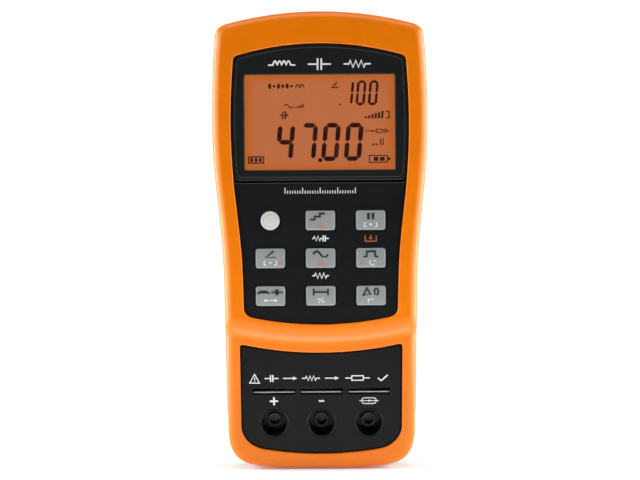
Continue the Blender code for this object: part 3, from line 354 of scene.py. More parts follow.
def outline_of(node, radius):
    """A node's box seen from the front, with rounded corners, as an outline for each inset."""
    low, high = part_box(node)
    middle = ((low.x + high.x) / 2, (low.z + high.z) / 2)
    half_x, half_z = (high.x - low.x) / 2, (high.z - low.z) / 2
    return lambda inset: rounded_box(half_x - inset, half_z - inset, radius, middle)


def quarter_turn(steps):
    return [k / steps * pi / 2 for k in range(steps + 1)]


def edge_rings(outline_at, face_y, radius, steps=5):
    """Rings of a rounded edge from a front face inwards; outline_at(inset) gives each outline."""
    return [(outline_at(radius * (1 - sin(turn))), face_y + radius * (1 - cos(turn)))
            for turn in quarter_turn(steps)]


def end_rings(outline_at, face_y, radius, steps=5):
    """Rings of a rounded edge that closes on a face behind the rings before it."""
    return [(outline_at(radius * (1 - cos(turn))), face_y - radius * (1 - sin(turn)))
            for turn in quarter_turn(steps)[1:]]


def flared_hole(outline_at, radius, front_y, back_y, place=Matrix(), steps=4, lead=1 * MM):
    """Cutter for a hole whose front edge is rounded, from a lead in front of the face to back_y."""
    rings = edge_rings(outline_at, front_y, radius, steps)
    rings = [(rings[0][0], front_y - lead)] + rings + [(outline_at(0), back_y)]
    return object_from(loft(rings, place), "hole")


# ---------------------------------------------------------------- outlines

TOP_ARC_R, TOP_CORNER_X, TOP_CORNER_Z = 145 * MM, 37.4 * MM, 173.5 * MM
FOOT_ARC_R, FOOT_FLAT_X, FOOT_CORNER_X, FOOT_CORNER_Z = 130 * MM, 9 * MM, 27 * MM, 18 * MM
SIDE_KNOTS = (                      # the case's side: (height, half width) in millimetres
    (182.0, 41.2), (173.5, 42.2), (159.0, 43.1), (143.0, 43.5), (126.0, 43.1), (112.0, 41.9),
    (98.0, 40.4), (84.0, 39.3), (68.0, 38.8), (44.0, 38.6), (18.0, 38.2), (2.0, 37.9),
)
EDGE_R, FRONT_DRAFT = 3.8 * MM, 0.5 * MM
REAR_EDGE_R, REAR_DRAFT = 6 * MM, 1.2 * MM
STEP_TOP_Z, STEP_FOOT_Z, STEP_ARC_R = 58.1 * MM, 49.6 * MM, 146 * MM
STEP_SLOPE = radians(60)
LOWER_FACE_Y = FRONT_Y + 4.9 * MM
LOWER_TILT = radians(5)
PANEL_RECESS = 1.1 * MM
UPPER_KNOTS = (                     # the upper panel's side: (height, half width) in millimetres
    (163.0, 34.2), (152.0, 34.9), (140.0, 35.2), (127.0, 34.9), (114.5, 34.05), (104.0, 32.9),
    (94.0, 31.8), (84.0, 30.95), (68.0, 30.4), (60.0, 30.3),
)
UPPER_SIDE_TOP, UPPER_SIDE_FOOT = 162.6 * MM, 65.2 * MM
UPPER_TOP_Z, UPPER_TOP_R = 170.2 * MM, 118 * MM
UPPER_FOOT_Z, UPPER_FOOT_R = 58.9 * MM, 134 * MM
LOWER_TOP_Z, LOWER_TOP_R = 47 * MM, 146 * MM
LOWER_FOOT_Z, LOWER_FOOT_R = 6.6 * MM, 136 * MM
LOWER_HALF_X = 32.2 * MM
JACK_Z = 18.6 * MM
ARC_STEPS, BEND_STEPS, CURL_STEPS = 12, 9, 11


def spline(knots, height):
    """Half width at a height, smoothly through (height, half width) knots in millimetres."""
    z = height / MM
    i = next((k for k in range(len(knots) - 1) if z >= knots[k + 1][0]), len(knots) - 2)
    before, after = knots[max(i - 1, 0)], knots[min(i + 2, len(knots) - 1)]
    low, high = knots[i], knots[i + 1]
    span = high[0] - low[0]
    t = (z - low[0]) / span
    slope_low = (high[1] - before[1]) / (high[0] - before[0]) * span
    slope_high = (after[1] - low[1]) / (after[0] - low[0]) * span
    width = (
        (2 * t**3 - 3 * t**2 + 1) * low[1] + (t**3 - 2 * t**2 + t) * slope_low
        + (3 * t**2 - 2 * t**3) * high[1] + (t**3 - t**2) * slope_high
    )
    return width * MM


def corner(start, start_dir, end, end_dir, count):
    """Points between start and end on a Bezier corner that leaves and arrives along the given directions."""
    reach = 0.55 * max(abs(end[0] - start[0]), abs(end[1] - start[1]))
    first, last = Vector((*start, 0)), Vector((*end, 0))
    handle = first + Vector((*start_dir, 0)).normalized() * reach
    other = last - Vector((*end_dir, 0)).normalized() * reach
    return [(p.x, p.y) for p in interpolate_bezier(first, handle, other, last, count + 2)[1:-1]]


def arc_points(reach, height_at, steps=ARC_STEPS):
    """Points (x, height) from the middle out to a reach."""
    return [(reach * k / steps, height_at(reach * k / steps)) for k in range(steps + 1)]


def dip(x, radius):
    """How far an arc about the middle has left its tangent at x."""
    return radius - sqrt(radius**2 - x**2)


def case_half(inset, above, shares=(), below=()):
    """Right half of the case outline: its top, side and foot, each a list of points that share their ends."""
    def side_x(z):
        return spline(SIDE_KNOTS, z) - inset

    def foot_z(x):
        """The lower end: flat in the middle, an arc on both sides of it."""
        return dip(max(x - FOOT_FLAT_X, 0), FOOT_ARC_R) + inset

    arc = arc_points(TOP_CORNER_X - 0.75 * inset, lambda x: LENGTH - inset - dip(x, TOP_ARC_R - inset))
    side_top = (side_x(TOP_CORNER_Z), TOP_CORNER_Z - 0.5 * inset)
    bend = corner(arc[-1], (1, -0.27), side_top, (0, -1), BEND_STEPS)
    foot_x = FOOT_CORNER_X - 0.3 * inset
    side_foot = (side_x(FOOT_CORNER_Z), FOOT_CORNER_Z)
    curl = corner(side_foot, (0, -1), (foot_x, foot_z(foot_x)), (-1, -0.14), CURL_STEPS)
    step_x = side_x(STEP_TOP_Z)
    heights = list(above) + [step_z(share, step_x) for share in shares] + list(below)
    side = [(side_x(z), z) for z in heights]
    runs = [FOOT_FLAT_X + (foot_x - FOOT_FLAT_X) * (1 - k / 10) for k in range(11)] + [0]
    sole = [(x, foot_z(x)) for x in runs]
    half_bend, half_curl = BEND_STEPS // 2 + 1, CURL_STEPS // 2 + 1
    right = bend[half_bend - 1:] + [side_top] + side + [side_foot] + curl[:half_curl]
    return arc + bend[:half_bend], right, curl[half_curl - 1:] + sole


def mirrored(half):
    """Close an outline from its right half, which runs from the top centre to the foot centre."""
    return half + [(-x, z) for x, z in reversed(half[1:-1])]


def upper_half(inset):
    """Right half of the upper panel's outline."""
    arc = arc_points(32.2 * MM - inset, lambda x: UPPER_TOP_Z - inset - dip(x, UPPER_TOP_R - inset))
    sole = arc_points(26.2 * MM - inset, lambda x: UPPER_FOOT_Z + inset + dip(x, UPPER_FOOT_R - inset))[::-1]
    heights = [UPPER_SIDE_TOP + (UPPER_SIDE_FOOT - UPPER_SIDE_TOP) * k / 30 for k in range(31)]
    side = [(spline(UPPER_KNOTS, z) - inset, z) for z in heights]
    return (
        arc + corner(arc[-1], (1, -0.28), side[0], (0, -1), 6) + side
        + corner(side[-1], (0, -1), sole[0], (-1, -0.2), 8) + sole
    )


def lower_half(inset):
    """Right half of the terminal panel's outline: a dipped top, straight sides and round lower corners."""
    def top(x):
        return LOWER_TOP_Z + dip(x, LOWER_TOP_R) - inset

    side_x = LOWER_HALF_X - inset
    arc = arc_points(side_x - 1.6 * MM, top)
    side_top, side_foot = (side_x, top(side_x) - 1.4 * MM), (side_x - 0.3 * MM, 17.8 * MM)
    sole = arc_points(22.5 * MM - inset / 2, lambda x: LOWER_FOOT_Z + dip(x, LOWER_FOOT_R) + inset, 9)[::-1]
    return (
        arc + corner(arc[-1], (1, 0.2), side_top, (0, -1), 5) + [side_top, side_foot]
        + corner(side_foot, (0, -1), sole[0], (-1, -0.17), 14) + sole
    )


def lower_face(z):
    return LOWER_FACE_Y + (STEP_FOOT_Z - z) * tan(LOWER_TILT)


def step_z(share, x):
    """Height of the step's surface at a share of the way down it."""
    return STEP_TOP_Z + (STEP_FOOT_Z - STEP_TOP_Z) * share + x**2 / (2 * STEP_ARC_R)


def front_face(x, z):
    """Depth of the front face: flat above, a rounded step, and a tilted face below it."""
    share = (step_z(0, x) - z) / (STEP_TOP_Z - STEP_FOOT_Z)
    if share <= 0:
        return FRONT_Y
    if share >= 1:
        return lower_face(z)
    drop = (1 - cos(asin(share * sin(STEP_SLOPE)))) / (1 - cos(STEP_SLOPE))
    return FRONT_Y + (lower_face(step_z(1, x)) - FRONT_Y) * drop


# The terminal panel's plane: +Y runs into the case, square to the lower face; z is kept along the slope.
TERMINAL = (
    Matrix.Translation((0, lower_face(JACK_Z) + PANEL_RECESS, JACK_Z)) @ Matrix.Rotation(LOWER_TILT, 4, "X")
    @ Matrix.Translation((0, 0, -JACK_Z))
)


# ---------------------------------------------------------------- case shells

FRONT_ROWS = (                      # heights of the mesh's rows above, on and below the step
    [(172 - 6.5 * k) * MM for k in range(1, 16)],
    [k / 14 for k in range(15)],
    [z * MM for z in (47, 42, 37, 32, 27, 22)],
)
REAR_ROWS = ([(172 - 7 * k) * MM for k in range(1, 22)],)
SCREWS = [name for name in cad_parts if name.startswith("case_screw")]
SHELL_SPLIT_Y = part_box("front_case")[1].y
COVER_SCREW_Z = 36.6 * MM
X_AXIS, Y_AXIS = (1, 0, 0), (0, 1, 0)


def shell(name, surface, rows, base_y, facing, draft, edge_r, face, cuts, unions=()):
    """A case shell: half of its outer skin, mirrored, given its wall on the inner side, then cut."""
    bm = bmesh.new()
    loops = [(case_half(0, *rows), None)]
    for turn in quarter_turn(8):
        loops.append((case_half(draft + edge_r * (1 - cos(turn)), *rows), edge_r * (1 - sin(turn)) * facing))
    rings = []
    for (top, right, foot), drop in loops:
        outline = top + right[1:] + foot[1:]
        rings.append([bm.verts.new((x, base_y if drop is None else face(x, z) - drop, z))
                      for x, z in outline])
    for low, high in zip(rings, rings[1:]):
        for i in range(len(low) - 1):
            bm.faces.new((low[i], low[i + 1], high[i + 1], high[i]))
    fill_face(bm, rings[-1], *loops[-1][0][:2], face)
    piece = object_from(bm, name)
    piece.data.materials.append(surface)
    mirror = piece.modifiers.new("mirror", "MIRROR")
    mirror.use_clip = True
    mirror.merge_threshold = 0.01 * MM
    wall = piece.modifiers.new("wall", "SOLIDIFY")
    wall.thickness, wall.offset, wall.use_even_offset = WALL, -1, True
    bake(piece)
    carve(piece, cuts, unions, angle=30)
    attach(piece, "case")
    return piece


def fill_face(bm, loop, top, right, face):
    """Rows across the face between the loop's top, side and foot, which follow the curve of both ends."""
    columns = len(top) - 1
    rows = [loop[: columns + 1]]
    for j, (side_x, side_z) in enumerate(right[1:-1], start=1):
        bend = 1 / (2 * STEP_ARC_R)
        if side_z >= step_z(0, side_x) + 0.1 * MM:
            bend *= 1 - 2.2 * min(max((side_z - STEP_FOOT_Z) / (LENGTH - STEP_FOOT_Z), 0), 1)
        row = []
        for k in range(columns):
            x = side_x * (k / columns) ** 0.8
            z = side_z - bend * (side_x**2 - x**2)
            row.append(bm.verts.new((x, face(x, z), z)))
        rows.append(row + [loop[columns + j]])
    rows.append(list(reversed(loop[columns + len(right) - 1:])))
    for upper, lower in zip(rows, rows[1:]):
        for k in range(columns):
            bm.faces.new((upper[k], upper[k + 1], lower[k + 1], lower[k]))


def front_case():
    inlet = centre("dc_jack")
    cuts = []
    for half, face_y, place in ((upper_half, FRONT_Y, Matrix()), (lower_half, -PANEL_RECESS, TERMINAL)):
        cuts.append(flared_hole(lambda grow, half=half: mirrored(half(-GAP - grow)), 0.55 * MM, face_y,
                                face_y + 6 * MM, place, steps=5, lead=2 * MM))
    cuts.append(rod_tool("inlet_hole", (30 * MM, inlet.y, inlet.z), X_AXIS, 15 * MM, 4.3 * MM))
    piece = shell("front_shell", ORANGE, FRONT_ROWS, SHELL_SPLIT_Y - 0.1 * MM, -1, FRONT_DRAFT,
                  EDGE_R, front_face, cuts)
    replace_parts(piece, "front_case")


def rear_case():
    """Rear shell with its cover seat, battery bay, stand recess, screw wells and link window seat."""
    inner = BACK_Y - WALL
    cover_low, cover_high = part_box("battery_cover")
    stand_low, stand_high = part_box("tilt_stand")
    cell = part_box("battery_9v")[0]
    pin, stand_x, ledge_x = centre("stand_pin"), stand_high.x, cover_high.x + 2 * MM
    bay_x, bay_low, bay_high, bay_y = 15 * MM, cell.z - GAP, cell.z + 54.7 * MM, cell.y - GAP
    wall_x, wall = 16.6 * MM, 1.6 * MM
    screws = [centre(name) for name in SCREWS]
    unions = [
        box_tool("bay_walls", (-wall_x, bay_y - wall, bay_low - wall),
                 (wall_x, inner + 0.5 * MM, bay_high + wall)),
        box_tool("cover_ledge", (-ledge_x, inner - 1.6 * MM, cover_low.z - 2 * MM),
                 (ledge_x, inner + 0.4 * MM, cover_high.z + 2 * MM)),
        rod_tool("cover_boss", (0, 10 * MM, COVER_SCREW_Z), Y_AXIS, 8 * MM, 3 * MM),
        box_tool("stand_pan", (-stand_x - 3.5 * MM, inner - 2.8 * MM, stand_low.z - 3 * MM),
                 (stand_x + 3.5 * MM, inner + 0.45 * MM, pin.z + 5.6 * MM)),
    ]
    unions += [rod_tool("boss", (spot.x, 3.6 * MM, spot.z), Y_AXIS, 15.7 * MM, 4.2 * MM) for spot in screws]
    cuts = [
        box_tool("stand_recess", (-stand_x - 0.5 * MM, BACK_Y - 3.6 * MM, stand_low.z - 0.5 * MM),
                 (stand_x + 0.5 * MM, BACK_Y + 9 * MM, pin.z + 3.4 * MM), 0.45 * MM),
        box_tool("hinge_recess", (-stand_x - 0.5 * MM, pin.y - 2.7 * MM, pin.z - 3.6 * MM),
                 (stand_x + 0.5 * MM, BACK_Y + 8.8 * MM, pin.z + 3.3 * MM), 0.4 * MM),
        box_tool("finger_notch", (-9 * MM, BACK_Y - 2.6 * MM, stand_low.z - 4 * MM),
                 (9 * MM, BACK_Y + 8 * MM, stand_low.z + 1 * MM), 1.5 * MM),
        rod_tool("pin_hole", (-stand_x - 2.5 * MM, pin.y, pin.z), X_AXIS, 2 * stand_x + 5 * MM, 1.2 * MM, 24),
        cover_seat(cover_low.y - GAP, 0.4 * MM),
        box_tool("bay", (-bay_x, bay_y, bay_low), (bay_x, BACK_Y + 1.3 * MM, bay_high), 0.8 * MM),
        box_tool("lead_notch", (-4 * MM, 1.5 * MM, bay_high - 1 * MM), (4 * MM, 5.5 * MM, bay_high + 3 * MM)),
        rod_tool("cover_insert", (0, BACK_Y - 8 * MM, COVER_SCREW_Z), Y_AXIS, 9 * MM, 1.3 * MM, 24),
        link_seat(),
    ]
    for spot in screws:                 # a well for each screw's head and a narrower hole for its shank
        well = [(0, 2 * MM), (1.7 * MM, 2 * MM), (1.7 * MM, 9 * MM), (3.1 * MM, 9 * MM),
                (3.1 * MM, BACK_Y - 0.5 * MM), (3.25 * MM, BACK_Y - 0.15 * MM), (3.6 * MM, BACK_Y),
                (3.6 * MM, BACK_Y + 4 * MM), (0, BACK_Y + 4 * MM)]
        cuts.append(object_from(lathe(well, Matrix.Translation((spot.x, 0, spot.z))), "screw_well"))
    piece = shell("rear_shell", GREY, REAR_ROWS, SHELL_SPLIT_Y + 0.55 * MM, 1, REAR_DRAFT,
                  REAR_EDGE_R, lambda x, z: BACK_Y, cuts, unions)
    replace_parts(piece, "rear_case")


def cover_seat(floor_y, flare):
    """Cutter for the battery cover's seat, out past the back face, with its mouth's edge rounded."""
    ring = anticlockwise(outline_of("battery_cover", 2.2 * MM)(-GAP))
    rings = [(ring, floor_y), (ring, BACK_Y - flare)]
    rings += end_rings(lambda grow: grown(ring, grow), BACK_Y, flare, 4)
    return object_from(loft(rings + [(rings[-1][0], BACK_Y + 1.5 * MM)]), "cover_seat")


def link_seat():
    """Cutter for the link window's stepped seat."""
    ring = anticlockwise(outline_of("ir_window", 1.5 * MM)(-GAP))
    steps = ((-1 * MM, 15 * MM), (-1 * MM, 18.8 * MM), (0, 18.8 * MM), (0, BACK_Y - 0.3 * MM),
             (0.3 * MM, BACK_Y), (0.3 * MM, 25 * MM))
    return object_from(loft([(grown(ring, grow), depth) for grow, depth in steps]), "link_seat")


# ---------------------------------------------------------------- front panels

PANEL_FRONT, PANEL_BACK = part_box("keypad_panel")[0].y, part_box("display_bezel")[1].y
FACE = Matrix.Translation((0, PANEL_FRONT, 0))
FLANGE, FLANGE_Y = 2.2 * MM, PANEL_BACK - 1.2 * MM
GROOVE_Z = (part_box("display_bezel")[0].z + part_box("keypad_panel")[1].z) / 2
GROOVE_HALF = 0.45 * MM
BEZEL_CORNER = 2.4 * MM
EDGE = 0.45 * MM


def bezel_half(inset, groove_inset=None):
    """Right half of the display bezel: the upper panel down to the groove, with rounded lower corners."""
    foot = GROOVE_Z + GROOVE_HALF + (inset if groove_inset is None else groove_inset)
    side = [point for point in upper_half(inset) if point[1] > foot + BEZEL_CORNER + 1 * MM]
    x = spline(UPPER_KNOTS, foot + BEZEL_CORNER) - inset
    turn = corner((x, foot + BEZEL_CORNER), (-0.05, -1), (x - BEZEL_CORNER, foot), (-1, 0), 6)
    return side + [(x, foot + BEZEL_CORNER)] + turn + [(x - BEZEL_CORNER, foot), (0, foot)]


def front_plate(name, half, flange, surface):
    """A front panel: its rounded face edge, its plate, and the wider flange behind the case wall."""
    rings = edge_rings(lambda inset: mirrored(half(inset)), PANEL_FRONT, EDGE)
    rings += [(mirrored(half(0)), FLANGE_Y), (mirrored(flange), FLANGE_Y), (mirrored(flange), PANEL_BACK)]
    return finish_piece(loft(rings), name, surface, "case")


def display_bezel():
    piece = front_plate("display_surround", bezel_half, bezel_half(-FLANGE, 0), BEZEL)
    window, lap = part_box("display_window")[0], 1.2 * MM

    def sight(grow):
        return outline_of("display_window", 0.6 * MM + grow)(lap - grow)

    seat = outline_of("display_window", 0.8 * MM)(-GAP)
    seat_tool = object_from(loft([(seat, window.y - 0.2 * MM), (seat, PANEL_BACK + 1 * MM)]), "window_seat")
    carve(piece, [flared_hole(sight, 0.55 * MM, PANEL_FRONT, window.y), seat_tool])
    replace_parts(piece, "display_bezel")


POWER_R = (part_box("power_button")[1].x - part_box("power_button")[0].x) / 2 - 1 * MM
KEY_X, KEY_Z = (
    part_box("key_upper_centre")[1][axis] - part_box("key_upper_centre")[0][axis] - 2 * MM for axis in (0, 2)
)
KEYS = sorted(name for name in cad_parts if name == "power_button" or name.startswith("key_"))
CAP_CROWN, CAP_EDGE = 0.28 * MM, 0.6 * MM


def key_outline(name, grow):
    """Cap outline of a key, grown or shrunk."""
    middle = (centre(name).x, centre(name).z)
    if name == "power_button":
        return circle(POWER_R + grow, middle)
    return rounded_box(KEY_X / 2 + grow, KEY_Z / 2 + grow, max(0.95 * MM + grow * 0.6, 0.2 * MM), middle)


def keypad_panel():
    piece = front_plate("keypad_face", upper_half, upper_half(-FLANGE), CHARCOAL)
    bezel, back = anticlockwise(mirrored(bezel_half(0))), PANEL_BACK + 1 * MM
    above = (50 * MM, 0, 200 * MM)
    cuts = [box_tool("above", (-50 * MM, -30 * MM, GROOVE_Z + BEZEL_CORNER + 0.8 * MM), above),
            box_tool("above_flange", (-50 * MM, FLANGE_Y - 0.1 * MM, GROOVE_Z), above),
            flared_hole(lambda grow: grown(bezel, 2 * GROOVE_HALF + grow), 0.4 * MM, PANEL_FRONT, back)]
    for name in KEYS:
        cuts.append(flared_hole(lambda grow, name=name: key_outline(name, GAP + grow), 0.25 * MM,
                                PANEL_FRONT, back))
    carve(piece, cuts)
    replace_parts(piece, "keypad_panel")


def key(name):
    """Key cap with soft edges and a face crowned from top to bottom, its lip and its plunger."""
    power, spot = name == "power_button", centre(name)
    front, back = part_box(name)[0].y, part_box(name)[1].y
    lip_y, crown = PANEL_BACK + GAP, 0.12 * MM if power else 0

    def cap(grow):
        return key_outline(name, grow)

    steps = ((-2.2, back), (-2.2, lip_y + 1 * MM), (0.98, lip_y + 1 * MM), (0.98, lip_y), (0, lip_y),
             (0, front + CAP_EDGE + crown))
    rings = [(cap(grow * MM), depth) for grow, depth in steps] + end_rings(cap, front + crown, -CAP_EDGE, 6)
    if power:                           # a shallow ring groove round the middle of the cap
        dish = ((-1.05, 0.06), (-1.15, 0.2), (-1.35, 0.2), (-1.5, 0.05), (-2.2, 0.01))
    else:
        dish = ((grow, 0) for grow in (-0.9, -1.5, -2.2, -3, -3.7))
    bm = loft(rings + [(cap(grow * MM), front + depth * MM) for grow, depth in dish])
    if not power:
        for vert in bm.verts:
            if vert.co.y < front + CAP_EDGE * 1.01:
                vert.co.y += crown_drop(vert.co.z - spot.z)
    surface, slot = (KEY_WHITE, "key_white") if power else (KEY_GREY, "key_grey")
    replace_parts(finish_piece(bm, name + "_cap", surface, name, angle=50), name)


def crown_drop(height):
    """How far a key cap's crowned face falls back at a height from its centre."""
    return CAP_CROWN * (height / (KEY_Z / 2)) ** 2


# ---------------------------------------------------------------- printed marks

class Print:
    """Thin raised marks in millimetres on the plane y = 0 of place; each mark is one closed plate."""

    def __init__(self, place=FACE):
        self.bm = bmesh.new()
        self.place = place

    def plate(self, rows, closed=False):
        """A plate through rows of (x, depth, z) points."""
        skin(self.bm, [[self.place @ Vector(point) for point in row] for row in rows], closed)

    def line(self, points, width, closed=False):
        """A stroke of constant width along a path, with mitred corners."""
        path = [Vector(point) * MM for point in points]
        rows = []
        for i, here in enumerate(path):
            before = path[i - 1] if closed or i else here
            after = path[(i + 1) % len(path)] if closed or i < len(path) - 1 else here
            run_in = (here - before).normalized() if here != before else (after - here).normalized()
            run_out = (after - here).normalized() if after != here else run_in
            side = Vector((-run_in.y - run_out.y, run_in.x + run_out.x))
            side *= width * MM / 2 / max(side.length_squared / 4, 0.25) / 2
            left, right = here + side, here - side
            rows.append([(left.x, -INK, left.y), (right.x, -INK, right.y), (right.x, 0.3 * INK, right.y),
                         (left.x, 0.3 * INK, left.y)])
        self.plate(rows, closed)

    def solid(self, points):
        """A filled convex or nearly convex outline."""
        self.plate([[(x * MM, depth, z * MM) for x, z in points] for depth in (-INK, 0.3 * INK)])

    def disc(self, x, z, radius, sides=24):
        self.solid(circle(radius, (x, z), sides))

    def ring(self, x, z, radius, width, sides):
        self.line(circle(radius, (x, z), sides), width, closed=True)

    def box(self, x, z, width, height):
        self.solid([(x + i * width / 2, z + j * height / 2) for i, j in ((-1, -1), (1, -1), (1, 1), (-1, 1))])

    def arrow_head(self, x, z, reach, half):
        """A triangle with its tip at x, z; it points along x, back if its reach is negative."""
        self.solid([(x - reach, z - half), (x, z), (x - reach, z + half)])

    def coil(self, x, z, half, width):
        """Inductor symbol centred on x: leads and four humps."""
        humps = wave(x - half * 0.66, z, half * 1.32, 4, half * 0.3)
        self.line([(x - half, z)] + humps + [(x + half, z)], width)

    def capacitor(self, x, z, half, width):
        """Capacitor symbol centred on x: two plates with their leads."""
        gap, tall = half * 0.16, half * 0.5
        for side in (-1, 1):
            self.line([(x + side * half, z), (x + side * gap, z)], width)
            self.line([(x + side * gap, z - tall), (x + side * gap, z + tall)], width * 1.15)

    def resistor(self, x, z, half, width):
        """Resistor symbol centred on x: a zigzag between two leads."""
        teeth = zigzag(x - half * 0.6, z, half * 1.2, 3, half * 0.26)
        self.line([(x - half, z)] + teeth + [(x + half, z)], width)

    def draw(self, marks):
        """Marks given as (method, its arguments)."""
        for kind, *values in marks:
            getattr(self, kind)(*values)

    def done(self, name, surface=WHITE_INK, body="case", slot="key_white"):
        finish_piece(self.bm, name, surface, body, angle=20, weighted=False)


def wave(x, z, width, humps, height):
    """A row of humps, as an inductor is drawn."""
    return [(x + width * k / (humps * 8), z + height * sin(pi * (k / 8 % 1))) for k in range(humps * 8 + 1)]


def zigzag(x, z, width, teeth, height):
    points = [(x, z)]
    for k in range(teeth):
        for share, rise in ((0.25, height), (0.75, -height)):
            points.append((x + width * (k + share) / teeth, z + rise))
    return points + [(x + width, z)]


def sine(x, z, width, height, steps):
    return [(x + width * k / steps, z + height * sin(2 * pi * k / steps)) for k in range(steps + 1)]


def panel_print():
    """White symbols on the bezel and the keypad: component signs, a scale and the row marks."""
    ink, row_z = Print(), 162.2
    ink.coil(-15, row_z - 0.3, 5.4, 0.6)
    ink.capacitor(0, row_z, 4.6, 0.6)
    ink.resistor(15, row_z, 5.4, 0.6)
    ink.done("component_marks")

    ink, scale_z, series_z, plain_z = Print(), 110.7, 92.8, 78
    for k in range(29):
        tall = 2.3 if k % 7 == 0 else 1.2
        ink.box(-14 + k, scale_z + tall / 2, 0.34, tall)
    # Equivalent series resistance under the first row of keys, and plain resistance under the second.
    ink.line([(-3.3, series_z)] + zigzag(-2.7, series_z, 2.7, 2, 1) + [(1, series_z)], 0.46)
    for x in (1.1, 1.9):
        ink.line([(x, series_z - 1.2), (x, series_z + 1.2)], 0.5)
    ink.line([(2, series_z), (3.3, series_z)], 0.46)
    ink.line([(-3.3, plain_z)] + zigzag(-2.4, plain_z, 4.8, 3, 1.1) + [(3.3, plain_z)], 0.48)
    ink.done("keypad_marks")

    ink, tray_x, tray_z = Print(), 20, 91.6
    ink.line([(tray_x + x, tray_z + z) for x, z in ((-2.2, 2.3), (-2.2, 0), (2.2, 0), (2.2, 2.3))], 0.42)
    ink.line([(tray_x, tray_z + 2.6), (tray_x, tray_z + 1.2)], 0.42)
    ink.solid([(tray_x + x, tray_z + z) for x, z in ((-1, 1.5), (0, 0.5), (1, 1.5))])
    ink.done("store_mark", BROWN_INK)


RIM_INSET = 1.3 * MM                # a painted highlight for the lit edge of a fine raised rim all round the bezel, just inside its edge


def painted_seam_highlights():
    """Painted highlights: light strips for the two lit edges where the bezel and the keypad panel meet, and for
    the bezel's rim.
    """
    def path(half):
        return [(x / MM, z / MM) for x, z in half]

    for name, inset, rise in (("bezel_edge_line", EDGE * 0.55, 0.06 * MM),
                              ("keypad_edge_line", -2 * GROOVE_HALF - 0.2 * MM, 0)):
        half = path(point for point in bezel_half(inset) if point[1] < GROOVE_Z + 2.6 * MM)
        ink = Print(Matrix.Translation((0, PANEL_FRONT + rise, 0)))
        ink.line(half + [(-x, z) for x, z in reversed(half[:-1])], 0.16)
        ink.done(name, PAINTED_EDGE_HIGHLIGHT, slot="panel_charcoal")
    ink = Print()
    ink.line(path(mirrored(bezel_half(RIM_INSET))), 0.2, closed=True)
    ink.done("bezel_rim_line", PAINTED_EDGE_HIGHLIGHT, slot="panel_charcoal")


# ---------------------------------------------------------------- key legends

RAYS = [("line", [(r * cos(pi * k / 4), r * sin(pi * k / 4)) for r in (0.85, 1.25)], 0.24) for k in range(8)]
LIMITS = [("line", [(side * 1.2, -0.7), (side * 1.9, -0.7), (side * 1.9, 0.7), (side * 1.2, 0.7)], 0.3)
          for side in (-1, 1)] + [("disc", 0, 0, 0.35, 12)]
LEGENDS = {                         # for each key: its upper sign, the lower one and their shifts in x
    "key_upper_centre": (           # steps, and a lamp
        [("line", [(-2, -0.8), (-0.7, -0.8), (-0.7, 0), (0.7, 0), (0.7, 0.8), (2, 0.8)], 0.52)], -1.2,
        [("ring", 0, 0, 0.5, 0.28, 16)] + RAYS, 0, ORANGE_INK),
    "key_upper_right": (            # pause, and limits
        [("box", side, 0, 0.72, 1.8) for side in (-0.6, 0.6)], 0, LIMITS, 0, PALE_INK),
    "key_middle_left": (            # loss angle, and limits
        [("line", [(1.5, -0.8), (-1.3, -0.8), (0.9, 0.9)], 0.52)], 0, LIMITS, 0, PALE_INK),
    "key_middle_centre": (          # test frequency, and a triangle
        [("line", sine(-2, 0, 4, 0.8, 20), 0.52)], 0,
        [("line", [(-0.9, -0.6), (0.9, -0.6), (0, 0.8)], 0.28, True)], 0, ORANGE_INK),
    "key_middle_right": (           # a window, and a circular arrow
        [("line", [(-2, -0.7), (-1.1, -0.7), (-1.1, 0.7), (1.1, 0.7), (1.1, -0.7), (2, -0.7)], 0.5)], 0,
        [("line", [(0.85 * cos(radians(a)), 0.85 * sin(radians(a))) for a in range(40, 330, 20)], 0.28),
         ("solid", [(0.35, 0.35), (1.2, 0.3), (0.95, 1.05)])], 0.6, PALE_INK),
    "key_lower_left": (             # coil and capacitor, and two arrows for series and parallel
        [("coil", -1.9, -0.2, 1.7, 0.42), ("capacitor", 1.7, 0, 1.5, 0.42)], 0,
        [("line", [(-1.5, 0), (1.5, 0)], 0.26), ("arrow_head", -2.2, 0, -0.9, 0.55),
         ("arrow_head", 2.2, 0, 0.9, 0.55)], 0, PALE_INK),
    "key_lower_centre": (           # a span, and per cent
        [("line", [(-1.8, 0), (1.8, 0)], 0.48)]
        + [("line", [(side * 1.9, -0.9), (side * 1.9, 0.9)], 0.48) for side in (-1, 1)], 0,
        [("line", [(-0.8, -0.9), (0.8, 0.9)], 0.26), ("ring", -0.7, 0.5, 0.3, 0.22, 12),
         ("ring", 0.7, -0.5, 0.3, 0.22, 12)], 0, PALE_INK),
    "key_lower_right": (            # difference from zero, and a flag
        [("line", [(-2.1, -0.85), (-1.1, 0.95), (-0.1, -0.85)], 0.46, True),
         ("line", [(x * 0.62 + 1.4, z) for x, z in circle(0.85, sides=20)], 0.44, True)], 0,
        [("line", [(-0.9, -0.9), (-0.9, 0.9), (0.8, 0.3), (-0.9, -0.2)], 0.26)], 0, PALE_INK),
}
DOTS = {"key_middle_left": 4.1, "key_middle_right": -3.6}      # keys with an orange dot, and its place in x


